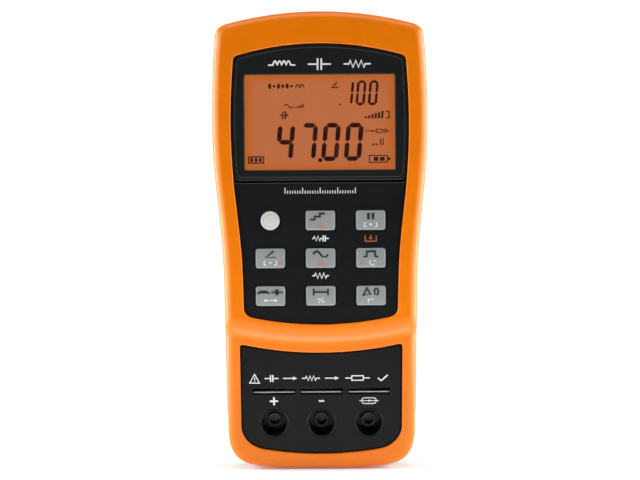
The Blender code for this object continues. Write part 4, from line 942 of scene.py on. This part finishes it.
def key_legends():
    def on_cap(name, height, shift=0.0):
        """Place on a key's crowned face at a height and a shift from its centre, in millimetres."""
        spot, face_y = centre(name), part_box(name)[0].y + crown_drop(height * MM) - 0.01 * MM
        return Matrix.Translation((spot.x + shift * MM, face_y, spot.z + height * MM))

    for name, (upper, upper_shift, lower, lower_shift, lower_ink) in LEGENDS.items():
        for part, height, size, marks, shift, surface in (
            ("upper", 1.5, 1.5, upper, upper_shift, DARK_INK),
            ("lower", -1.75, 1.3, lower, lower_shift, lower_ink),
        ):
            ink = Print(on_cap(name, height, shift) @ Matrix.Diagonal((size, 1, size, 1)))
            ink.draw(marks)
            ink.done(f"{name}_{part}_mark", surface, name)
        if name in DOTS:
            ink = Print(on_cap(name, -1.8))
            ink.disc(DOTS[name], 0, 0.6, 14)
            ink.done(name + "_dot", ORANGE_INK, name)


# ---------------------------------------------------------------- display

# Lit segments: top, upper right, lower right, foot, lower left, upper left and middle are a to g.
SEGMENTS = {"0": "abcdef", "1": "bc", "4": "bcfg", "7": "abc"}
SLANT = tan(radians(5))


def digit(ink, shape, x, z, wide, tall, stroke):
    """A slanted seven-segment digit whose lower left corner is at x, z."""
    half, gap, middle = stroke / 2, stroke * 0.05, tall / 2
    left, right, low, high = half, wide - half, half, tall - half
    places = {
        "a": ((left, high), (right, high)), "b": ((right, middle), (right, high)),
        "c": ((right, low), (right, middle)), "d": ((left, low), (right, low)),
        "e": ((left, low), (left, middle)), "f": ((left, middle), (left, high)),
        "g": ((left, middle), (right, middle)),
    }
    for segment in SEGMENTS[shape]:
        start, end = (Vector(point) for point in places[segment])
        run = (end - start).normalized()
        side = Vector((-run.y, run.x))
        first, last = start + run * gap, end - run * gap
        outline = [first, first + (run - side) * half, last - (run + side) * half, last,
                   last + (side - run) * half, first + (run + side) * half]
        ink.solid([(x + p.x + p.y * SLANT, z + p.y) for p in outline])


def frame_points(left, low, right, high):
    return [(left, low), (right, low), (right, high), (left, high)]


def reading(ink, name, digits, x, z, pitch, size, point):
    """A number in seven-segment digits with its decimal point (x, z, radius, sides)."""
    for k, shape in enumerate(digits):
        digit(ink, shape, x + pitch * k, z, *size)
    ink.disc(*point)
    ink.done(name, SEGMENT, slot="lcd_amber")


def display_marks():
    """The reading and its signs, printed on the front of the display glass."""
    place = Matrix.Translation((0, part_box("lcd_glass")[0].y, centre("display_window").z))
    reading(Print(place), "reading_main", "4700", -17.9, -15.4, 9.1, (6.9, 15.2, 1.85), (0.1, -15, 0.85, 12))
    reading(Print(place), "reading_second", "100", 9.35, 6.8, 4.9, (3.7, 9.9, 1.02), (8.1, 7.1, 0.42, 10))

    ink = Print(place)
    # Signs along the top: a row of steps, a coil and the loss angle.
    for k, tall in enumerate((1.9, 0.9, 1.9, 1.3, 1.9, 0.9)):
        ink.box(-19.9 + 1.75 * k, 14.6, 1.15, tall)
    ink.line(wave(-9.6, 14, 3.4, 2, 1.2), 0.5)
    ink.line([(7.4, 13.9), (4.9, 13.9), (7, 16)], 0.62)
    # Test frequency: a small sine and its scale.
    ink.line(sine(-14.2, 6.6, 3.6, 0.75, 16), 0.42)
    for k in range(5):
        tall = 0.5 + 0.3 * k
        ink.box(-9.6 + 0.75 * k, 5.8 + tall / 2, 0.5, tall)
    # The part under test, shown as a capacitor, and automatic range as bars that grow.
    for side in (-1, 1):
        ink.line([(-14.3 + side * 0.5, 1.4), (-14.05 + side * 0.5, 4.5)], 0.62)
        ink.line([(-14.2 + side * 0.5, 2.95), (-14.2 + side * 1.7, 2.95)], 0.55)
    for k in range(6):
        x, z, tall = 17.9 + 1.3 * k, 1.5, 0.9 + 0.42 * k
        ink.solid([(x, z), (x + 0.9, z), (x + 0.9 + tall * SLANT, z + tall), (x + tall * SLANT, z + tall)])
    ink.line([(26.3, 1.7), (27.7, 1.7), (27.7, 4.2), (26.3, 4.2)], 0.46)
    # Series circuit: a terminal, a resistor and a capacitor in line.
    circuit_z = -3.5
    for start, end in ((17.8, 20.6), (21.4, 22.6), (25, 25.9), (26.6, 27.9)):
        ink.line([(start, circuit_z), (end, circuit_z)], 0.34)
    ink.ring(21, circuit_z, 0.4, 0.3, 12)
    ink.line(frame_points(22.6, circuit_z - 0.7, 25, circuit_z + 0.7), 0.34, closed=True)
    for x in (25.9, 26.6):
        ink.line([(x, circuit_z - 0.9), (x, circuit_z + 0.9)], 0.36)
    # Scale of the reading: three small squares and two strokes.
    for k in range(3):
        ink.box(20.9 + 0.9 * k, -8.9, 0.55, 0.8)
    for x in (24.1, 25.1):
        ink.line([(x, -9.2), (x + 0.25, -6.4)], 0.5)
    ink.done("display_signs", SEGMENT_SOFT, slot="lcd_amber")

    ink, foot_z = Print(place), -16
    ink.line(frame_points(-28.5, foot_z, -22.5, foot_z + 2.4), 0.5, closed=True)
    for k in range(3):
        ink.box(-27.2 + 1.7 * k, foot_z + 1.2, 1.1, 1.4)
    ink.line(frame_points(19.7, foot_z, 26.9, foot_z + 2.7), 0.42, closed=True)
    for x, width, tall in ((27.6, 0.8, 1.3), (22.4, 1.9, 1.6), (24.9, 1.9, 1.6)):
        ink.box(x, foot_z + 1.35, width, tall)
    ink.done("power_signs", SEGMENT, slot="lcd_amber")


def pane(name, node, radius, steps, surface):
    """A flat pane in a node's box; its steps are (inset, depth, 0 from the front or 1 from the back)."""
    outline = outline_of(node, radius)
    rings = [(outline(inset * MM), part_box(node)[face].y + depth * MM) for inset, depth, face in steps]
    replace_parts(finish_piece(loft(rings), name, surface, "case"), node)


def display_panes():
    """The window with its softened edge, and the LCD cell with its smaller front glass."""
    pane("display_pane", "display_window", 0.8 * MM, ((0.15, 0, 0), (0, 0.15, 0), (0, 0, 1)), CLEAR)
    pane("display_glass", "lcd_glass", 0.4 * MM,
         ((0.35, 0, 0), (0.3, 0.05, 0), (0.3, 1.2, 0), (0, 1.2, 0), (0, 0, 1)), LCD)


def link_window():
    pane("link_pane", "ir_window", 1.3 * MM,
         ((0, 0, 0), (0, -0.25, 1), (0.07, -0.07, 1), (0.25, 0, 1), (1.2, -0.03, 1)), LINK_DARK)


# ---------------------------------------------------------------- terminals

JACKS = {name: centre("jack_" + name).x for name in ("plus", "minus", "guard")}
SHROUD_R, SHROUD_RIM, SHROUD_DEPTH = 4.95 * MM, 1.3 * MM, 16 * MM
POST_R, SOCKET_R, POST_RECESS = 2.85 * MM, 2.05 * MM, 9 * MM
SLOT_Z, SLOT_HALF_X, SLOT_HALF_Z = 31.6 * MM, 8.5 * MM, 1.2 * MM
FLANGE_BACK = WALL + GAP - PANEL_RECESS
CONTACT_HALF_X, CONTACT_THICK = 8.1 * MM, 0.4 * MM
CONTACT_LEAVES = {                  # each leaf's path: (depth, height from the slot) in millimetres
    "lower": ((17.7, -1.1), (9.8, -1.1), (6.5, -1.1), (4.6, -0.75), (3.4, -0.5), (2.6, -0.45), (2, -0.45),
              (1.5, -0.5)),
    "upper": ((4.6, 1.05), (5.6, 0.55), (6.8, 0.35), (8.4, 0.7), (9.4, 1.0), (9.95, 0.85), (10.1, 0.2),
              (10, -0.55)),
}


def terminal_panel():
    """Lower panel: round wells with a raised, softened rim, and a lead slot with rounded lips above each."""
    flange = mirrored(lower_half(-FLANGE / 2))
    rings = edge_rings(lambda inset: mirrored(lower_half(inset)), 0, EDGE)
    rings += [(mirrored(lower_half(0)), FLANGE_BACK), (flange, FLANGE_BACK), (flange, FLANGE_BACK + 1.2 * MM)]
    piece = finish_piece(loft(rings), "terminal_face", PANEL_LOW, "case")
    rim, edge, face_y = SHROUD_R + SHROUD_RIM, 0.55 * MM, -0.35 * MM
    tube = [(0, face_y), (rim - 0.75 * MM, face_y), (rim - 0.45 * MM, -0.28 * MM),
            (rim - 0.15 * MM, 0.02 * MM), (rim - 0.1 * MM, 1 * MM), (rim, 1 * MM), (rim, SHROUD_DEPTH),
            (0, SHROUD_DEPTH)]
    well = [(0, -2 * MM), (SHROUD_R + edge, -2 * MM), *edge_rings(lambda grow: SHROUD_R + grow, face_y, edge),
            (SHROUD_R, SHROUD_DEPTH + 1 * MM), (0, SHROUD_DEPTH + 1 * MM)]
    unions, cuts = [], []
    for x in JACKS.values():
        place = Matrix.Translation((x, 0, JACK_Z))
        unions.append(object_from(lathe(tube, place, 64), "tube"))
        cuts.append(object_from(lathe(well, place, 64), "well"))

        def slot(grow, x=x):
            return rounded_box(SLOT_HALF_X + grow, SLOT_HALF_Z + grow, 0.3 * MM + grow, (x, SLOT_Z), 4)

        cuts.append(flared_hole(slot, 0.3 * MM, 0, 5 * MM))
    carve(piece, unions=unions)
    carve(piece, cuts)
    piece.data.transform(TERMINAL)
    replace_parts(piece, "terminal_panel")


def lead_contacts():
    """Sprung contact behind each slot: two leaves from one folded strip, rolled out at the mouth."""
    for name, x in JACKS.items():
        for part, path in CONTACT_LEAVES.items():
            points = [Vector((y * MM, SLOT_Z + z * MM)) for y, z in path]
            rows = []
            for i, here in enumerate(points):
                run = (points[min(i + 1, len(points) - 1)] - points[max(i - 1, 0)]).normalized()
                side = Vector((-run.y, run.x)) * CONTACT_THICK / 2
                rows.append([TERMINAL @ Vector((x + across * CONTACT_HALF_X, *(here + up * side)))
                             for across, up in ((-1, 1), (1, 1), (1, -1), (-1, -1))])
            bm = bmesh.new()
            skin(bm, rows)
            leaf = finish_piece(bm, f"contact_{name}_{part}_leaf", BRASS, "case")
            if part == "lower":
                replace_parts(leaf, "contact_" + name)


def terminal_jacks():
    """Each jack: an insulating post with a softened nose, its grey lightened as painted light for the deep, dim
    well, and its metal socket inside.
    """
    nose, seat, flange, bore = POST_RECESS, SHROUD_DEPTH + GAP, SHROUD_R + 1 * MM, 1.75 * MM
    sleeve = [
        (SOCKET_R, nose + 0.3 * MM), (SOCKET_R + 0.3 * MM, nose), (POST_R - 0.35 * MM, nose),
        (POST_R - 0.1 * MM, nose + 0.1 * MM), (POST_R, nose + 0.35 * MM), (POST_R, seat), (flange, seat),
        (flange, seat + 1.5 * MM), (1.2 * MM, seat + 1.5 * MM), (1.2 * MM, seat + 0.02 * MM),
        (SOCKET_R, seat),
    ]
    socket = [
        (0, seat - 1.6 * MM), (bore, seat - 1.6 * MM), (bore, nose + 0.75 * MM),
        (SOCKET_R - 0.05 * MM, nose + 0.55 * MM), (SOCKET_R - 0.05 * MM, seat), (1.1 * MM, seat),
        (1.1 * MM, seat + 4.1 * MM), (0, seat + 4.1 * MM),
    ]
    for name, x in JACKS.items():
        place, jack = TERMINAL @ Matrix.Translation((x, 0, JACK_Z)), "jack_" + name
        post = finish_piece(lathe(sleeve, place, hollow=True), jack + "_sleeve", SOCKET, "case")
        finish_piece(lathe(socket, place, 40), jack + "_socket", SOCKET_METAL, "case")
        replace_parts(post, jack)


def terminal_print():
    """Signs on the terminal panel: the warning triangle with its rule in symbols, and the jacks' polarity."""
    ink = Print(TERMINAL)
    ink.line([(-28.7, 35.1), (-24.8, 35.1), (-26.75, 38.6)], 0.4, closed=True)
    ink.box(-26.75, 36.8, 0.38, 1.1)
    ink.box(-26.75, 35.8, 0.38, 0.36)
    # Empty the capacitor before it is tested: a charged one, a discharge path and an arrow to the slots.
    rule_z = 36.9
    ink.capacitor(-19.9, rule_z, 2.8, 0.46)
    ink.resistor(-4.2, rule_z, 3.6, 0.42)
    for start, end in ((-15.4, -11), (1.4, 5.8), (9.6, 12.2), (16.8, 19.4)):
        ink.line([(start, rule_z), (end, rule_z)], 0.42)
    for tip in (-9.7, 7.1):
        ink.arrow_head(tip, rule_z, 1.7, 0.75)
    ink.line(frame_points(12.2, rule_z - 0.9, 16.8, rule_z + 0.9), 0.42, closed=True)
    ink.line([(22.6, rule_z), (24, rule_z - 1.1), (26.6, rule_z + 1.2)], 0.5)
    ink.done("warning_marks")

    ink, sign_z, reach, half = Print(TERMINAL), 27.7, 1.65, 0.36
    plus, minus, guard = (x / MM for x in JACKS.values())
    arms = ((half, half), (half, reach), (-half, reach), (-half, half), (-reach, half), (-reach, -half))
    ink.solid([(plus + side * a, sign_z + side * b) for side in (1, -1) for a, b in arms])
    ink.box(minus, sign_z, 2.2, 0.66)
    # Guard: a shield round a conductor.
    ink.line(rounded_box(2.9, 1.15, 1.1, (guard, sign_z), 5), 0.34, closed=True)
    ink.line([(guard - 3.9, sign_z), (guard + 3.9, sign_z)], 0.3)
    ink.disc(guard, sign_z, 0.42, 16)
    ink.done("polarity_marks")


# ---------------------------------------------------------------- pieces on the back

def battery_cover():
    """Lid with a softened edge, a grip of moulded grooves, an arrow and a recess for its screw."""
    low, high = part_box("battery_cover")
    screw, outline = centre("cover_screw"), outline_of("battery_cover", 2 * MM)
    rings = [(outline(0), low.y), (outline(0), high.y - 0.5 * MM)] + end_rings(outline, high.y, 0.5 * MM)
    piece = finish_piece(loft(rings), "battery_lid", GREY, "cover")
    sink = [(0, 10 * MM), (1.5 * MM, 10 * MM), (1.5 * MM, high.y - 1.1 * MM), (2.8 * MM, high.y - 1.1 * MM),
            (2.8 * MM, high.y - 0.3 * MM), (3.2 * MM, high.y), (3.2 * MM, high.y + 3 * MM),
            (0, high.y + 3 * MM)]
    cuts = [object_from(lathe(sink, Matrix.Translation((screw.x, 0, screw.z))), "screw_sink")]
    for k in range(7):                  # grooves across the lid's upper part
        z = high.z - 9 * MM - 2.6 * MM * k
        cuts.append(box_tool("groove", (-12 * MM, high.y - 0.55 * MM, z - 0.65 * MM),
                             (12 * MM, high.y + 2 * MM, z + 0.65 * MM), 0.5 * MM, 3))
    arrow_z, half_x, half_z = high.z - 33 * MM, 4 * MM, 2.4 * MM
    arrow = [(-half_x, arrow_z + half_z), (0, arrow_z - half_z), (half_x, arrow_z + half_z)]
    cuts.append(object_from(loft([(arrow, high.y - 0.8 * MM), (arrow, high.y + 0.4 * MM)]), "arrow"))
    carve(piece, cuts)
    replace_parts(piece, "battery_cover")


def tilt_stand():
    """Flap with softened edges, a dished face with ribs, and knuckles round its pin."""
    low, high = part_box("tilt_stand")
    pin, half = centre("stand_pin"), high.x
    barrel_r, flap_y = 2.3 * MM, high.y - 3 * MM
    middle, half_z = (0, (pin.z + low.z) / 2), (pin.z - low.z) / 2

    def outline(inset):
        return rounded_box(half - inset, half_z - inset, 4 * MM - inset, middle, 8)

    rings = [(outline(0.5 * MM), flap_y), (outline(0.15 * MM), flap_y + 0.15 * MM),
             (outline(0), flap_y + 0.5 * MM), (outline(0), high.y - 0.6 * MM)]
    rings += end_rings(outline, high.y, 0.6 * MM)
    piece = finish_piece(loft(rings), "stand_flap", GREY, "stand")
    carve(piece, unions=[rod_tool("barrel", (-half, pin.y, pin.z), X_AXIS, 2 * half, barrel_r)])
    cuts = []
    for start, end in ((-half + 7 * MM, -7.3 * MM), (-6.1 * MM, 6.1 * MM), (7.3 * MM, half - 7 * MM)):
        cuts.append(box_tool("dish", (start, high.y - 0.9 * MM, low.z + 9 * MM),
                             (end, high.y + 3 * MM, pin.z - 12 * MM), 0.7 * MM))
    cuts.append(box_tool("stand_top", (-half - 1 * MM, pin.y - 4 * MM, pin.z + barrel_r),
                         (half + 1 * MM, pin.y + 5 * MM, pin.z + 12 * MM)))
    cuts.append(rod_tool("bore", (-half - 1 * MM, pin.y, pin.z), X_AXIS, 2 * half + 2 * MM, 1.2 * MM, 32))
    for x in (-18.5 * MM, -6.5 * MM, 6.5 * MM, 18.5 * MM):      # slots between the five knuckles on the pin
        cuts.append(box_tool("knuckle", (x - 0.5 * MM, flap_y - 3 * MM, pin.z - 2.6 * MM),
                             (x + 0.5 * MM, high.y + 1 * MM, pin.z + 4 * MM)))
    carve(piece, cuts)
    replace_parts(piece, "tilt_stand")


def screw_head(node, body, thick, shank):
    """Pan-head screw with a domed, cross-recessed head; its ringed shank keeps the CAD screw's length."""
    low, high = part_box(node)
    spot, head_r = centre(node), (high.x - low.x) / 2
    seat, pitch, dome = high.y - thick, 0.5 * MM, pi / 2 * 0.9
    profile = [(0, low.y), (shank * 0.6, low.y)]
    for k in range(int((seat - low.y - 1 * MM) / pitch)):
        start = low.y + 0.3 * MM + k * pitch
        profile += [(shank - 0.15 * MM, start), (shank, start + 0.2 * MM)]
    profile += [(shank - 0.1 * MM, seat), (head_r - 0.1 * MM, seat), (head_r, seat + 0.1 * MM)]
    for k in range(7):
        turn = k / 6 * dome
        profile.append((head_r * cos(turn), seat + thick * 0.35 + thick * 0.65 * sin(turn) / sin(dome)))
    turned = lathe(profile + [(0, high.y)], Matrix.Translation((spot.x, 0, spot.z)), 24)
    piece = finish_piece(turned, f"{node}_metal", STEEL, body)
    arm, narrow = head_r * 0.62, head_r * 0.62 * 0.22
    carve(piece, [box_tool("cross", (spot.x - half_x, high.y - thick * 0.62, spot.z - half_z),
                           (spot.x + half_x, high.y + 1 * MM, spot.z + half_z))
                  for half_x, half_z in ((arm, narrow), (narrow, arm))])
    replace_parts(piece, node)


# ---------------------------------------------------------------- pieces that keep their CAD shape

KEPT = {
    SILICONE: ("keypad_mat", "zebra_strip"),
    BLACK: ("lcd_frame", "main_chip", "buzzer", "dc_jack", "supply_capacitor", "ir_holder", "ir_receiver",
            "battery_snap", "battery_lead_minus"),
    LIGHT_GUIDE: ("backlight",),
    BOARD: ("main_board", "terminal_board"),
    NICKEL: ("shield_can", "crystal"),
    RELAY: ("range_relay_left", "range_relay_right", "ir_led"),
    RIBBON: ("board_ribbon",),
    RED_WIRE: ("battery_lead_plus",),
    JACKET: ("battery_9v",),
    STEEL: ("stand_pin",),
}


def dress_kept():
    for surface, names in KEPT.items():
        for name in names:
            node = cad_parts[name]
            if not node.material_slots:
                node.data.materials.append(surface)
            for entry in node.material_slots:
                entry.material = surface


# ---------------------------------------------------------------- camera, stage and lights

SPLIT_Y = 3.5 * MM                  # plane where the shells meet, from which the camera's distance is taken
CAMERA_DISTANCE, CAMERA_LENS = 0.9, 124
CAMERA_X, CAMERA_Z, CAMERA_ROLL = -0.2 * MM, 92.2 * MM, radians(0.36)
FLOOR_R = 0.28
DIM, BRIGHT = (-0.6, 0.03), (0.3, 2.4)      # the sky's direction in y and its strength: dim in front
SHOWN_WHITE = 1.05


def camera():
    """Square to the front, turned a little about its own axis."""
    lens = bpy.data.cameras.new("camera")
    lens.sensor_width, lens.lens = 36, CAMERA_LENS
    lens.clip_start, lens.clip_end = 0.01, 100
    seen = bpy.data.objects.new("camera", lens)
    place = Matrix.Translation((CAMERA_X, SPLIT_Y - CAMERA_DISTANCE, CAMERA_Z))
    seen.matrix_world = place @ Matrix.Rotation(CAMERA_ROLL, 4, "Y") @ Matrix.Rotation(pi / 2, 4, "X")
    bpy.context.scene.collection.objects.link(seen)
    bpy.context.scene.camera = seen


def stage():
    """A pale round floor, which melts into the white round it."""
    bm = bmesh.new()
    bmesh.ops.create_circle(bm, cap_ends=True, radius=FLOOR_R, segments=128)
    finish_piece(bm, "floor", FLOOR, None, weighted=False)


def lamp(name, place, aim, size, power):
    light = bpy.data.lights.new(name, "AREA")
    light.shape, light.size, light.size_y = "RECTANGLE", size[0], size[1]
    light.energy = power
    made = bpy.data.objects.new(name, light)
    made.location = place
    made.rotation_euler = (Vector(aim) - Vector(place)).to_track_quat("-Z", "Y").to_euler()
    bpy.context.scene.collection.objects.link(made)
    return made


def lights():
    """A sky, dim in front and bright behind, which the camera sees as an even white, and lamps round it."""
    world = bpy.data.worlds.new("studio")
    bpy.context.scene.world = world
    world.use_nodes = True
    tree = world.node_tree
    split = add_node(tree, "SeparateXYZ", {"Vector": add_node(tree, "TexCoord").outputs["Generated"]})
    fade = add_node(tree, "MapRange", {"Value": split.outputs["Y"]}, From_Min=DIM[0], From_Max=BRIGHT[0],
                    To_Min=DIM[1], To_Max=BRIGHT[1])
    sky = tree.nodes["Background"]
    tree.links.new(fade.outputs["Result"], sky.inputs["Strength"])
    shown = add_node(tree, "Background", Color=(1, 1, 1, 1), Strength=SHOWN_WHITE)
    rays = add_node(tree, "LightPath").outputs["Is Camera Ray"]
    shades = {0: rays, 1: sky.outputs["Background"], 2: shown.outputs["Background"]}
    pick = add_node(tree, "MixShader", shades)
    tree.links.new(pick.outputs["Shader"], tree.nodes["World Output"].inputs["Surface"])
    aim = (0, 0, 0.1)
    for side, name in ((-1, "left"), (1, "right")):
        lamp("key_" + name, (side * 1.0, -0.42, 0.3), aim, (0.8, 1.0), 11.5)
        lamp("side_" + name, (side * 0.95, 0.3, 0.2), aim, (0.7, 1.0), 16)
    lamp("overhead", (0, -0.2, 1.1), aim, (0.9, 0.7), 5)
    lamp("behind", (0, 1.1, 0.5), aim, (0.9, 0.7), 3)
    # A strip at the foot of the front, out of the picture, that shows as a pale band on the case's step.
    strip = lamp("low_strip", (0, -0.041, 0.003), (0, -0.035, 0.1), (0.22, 0.03), 0.022)
    strip.data.spread = radians(70)
    strip.visible_camera = False


bpy.context.scene.view_settings.view_transform = "Standard"
camera()
stage()
lights()

front_case()
rear_case()
display_bezel()
keypad_panel()
for key_name in KEYS:
    key(key_name)
display_panes()
display_marks()
terminal_panel()
terminal_jacks()
lead_contacts()
panel_print()
painted_seam_highlights()
terminal_print()
key_legends()
battery_cover()
tilt_stand()
for screw_name in SCREWS:
    screw_head(screw_name, "case", 2 * MM, 1.4 * MM)
for screw_name in ("board_screw_left", "board_screw_right"):
    screw_head(screw_name, "case", 1.2 * MM, 0.8 * MM)
screw_head("cover_screw", "cover", 0.8 * MM, 1 * MM)
link_window()
dress_kept()
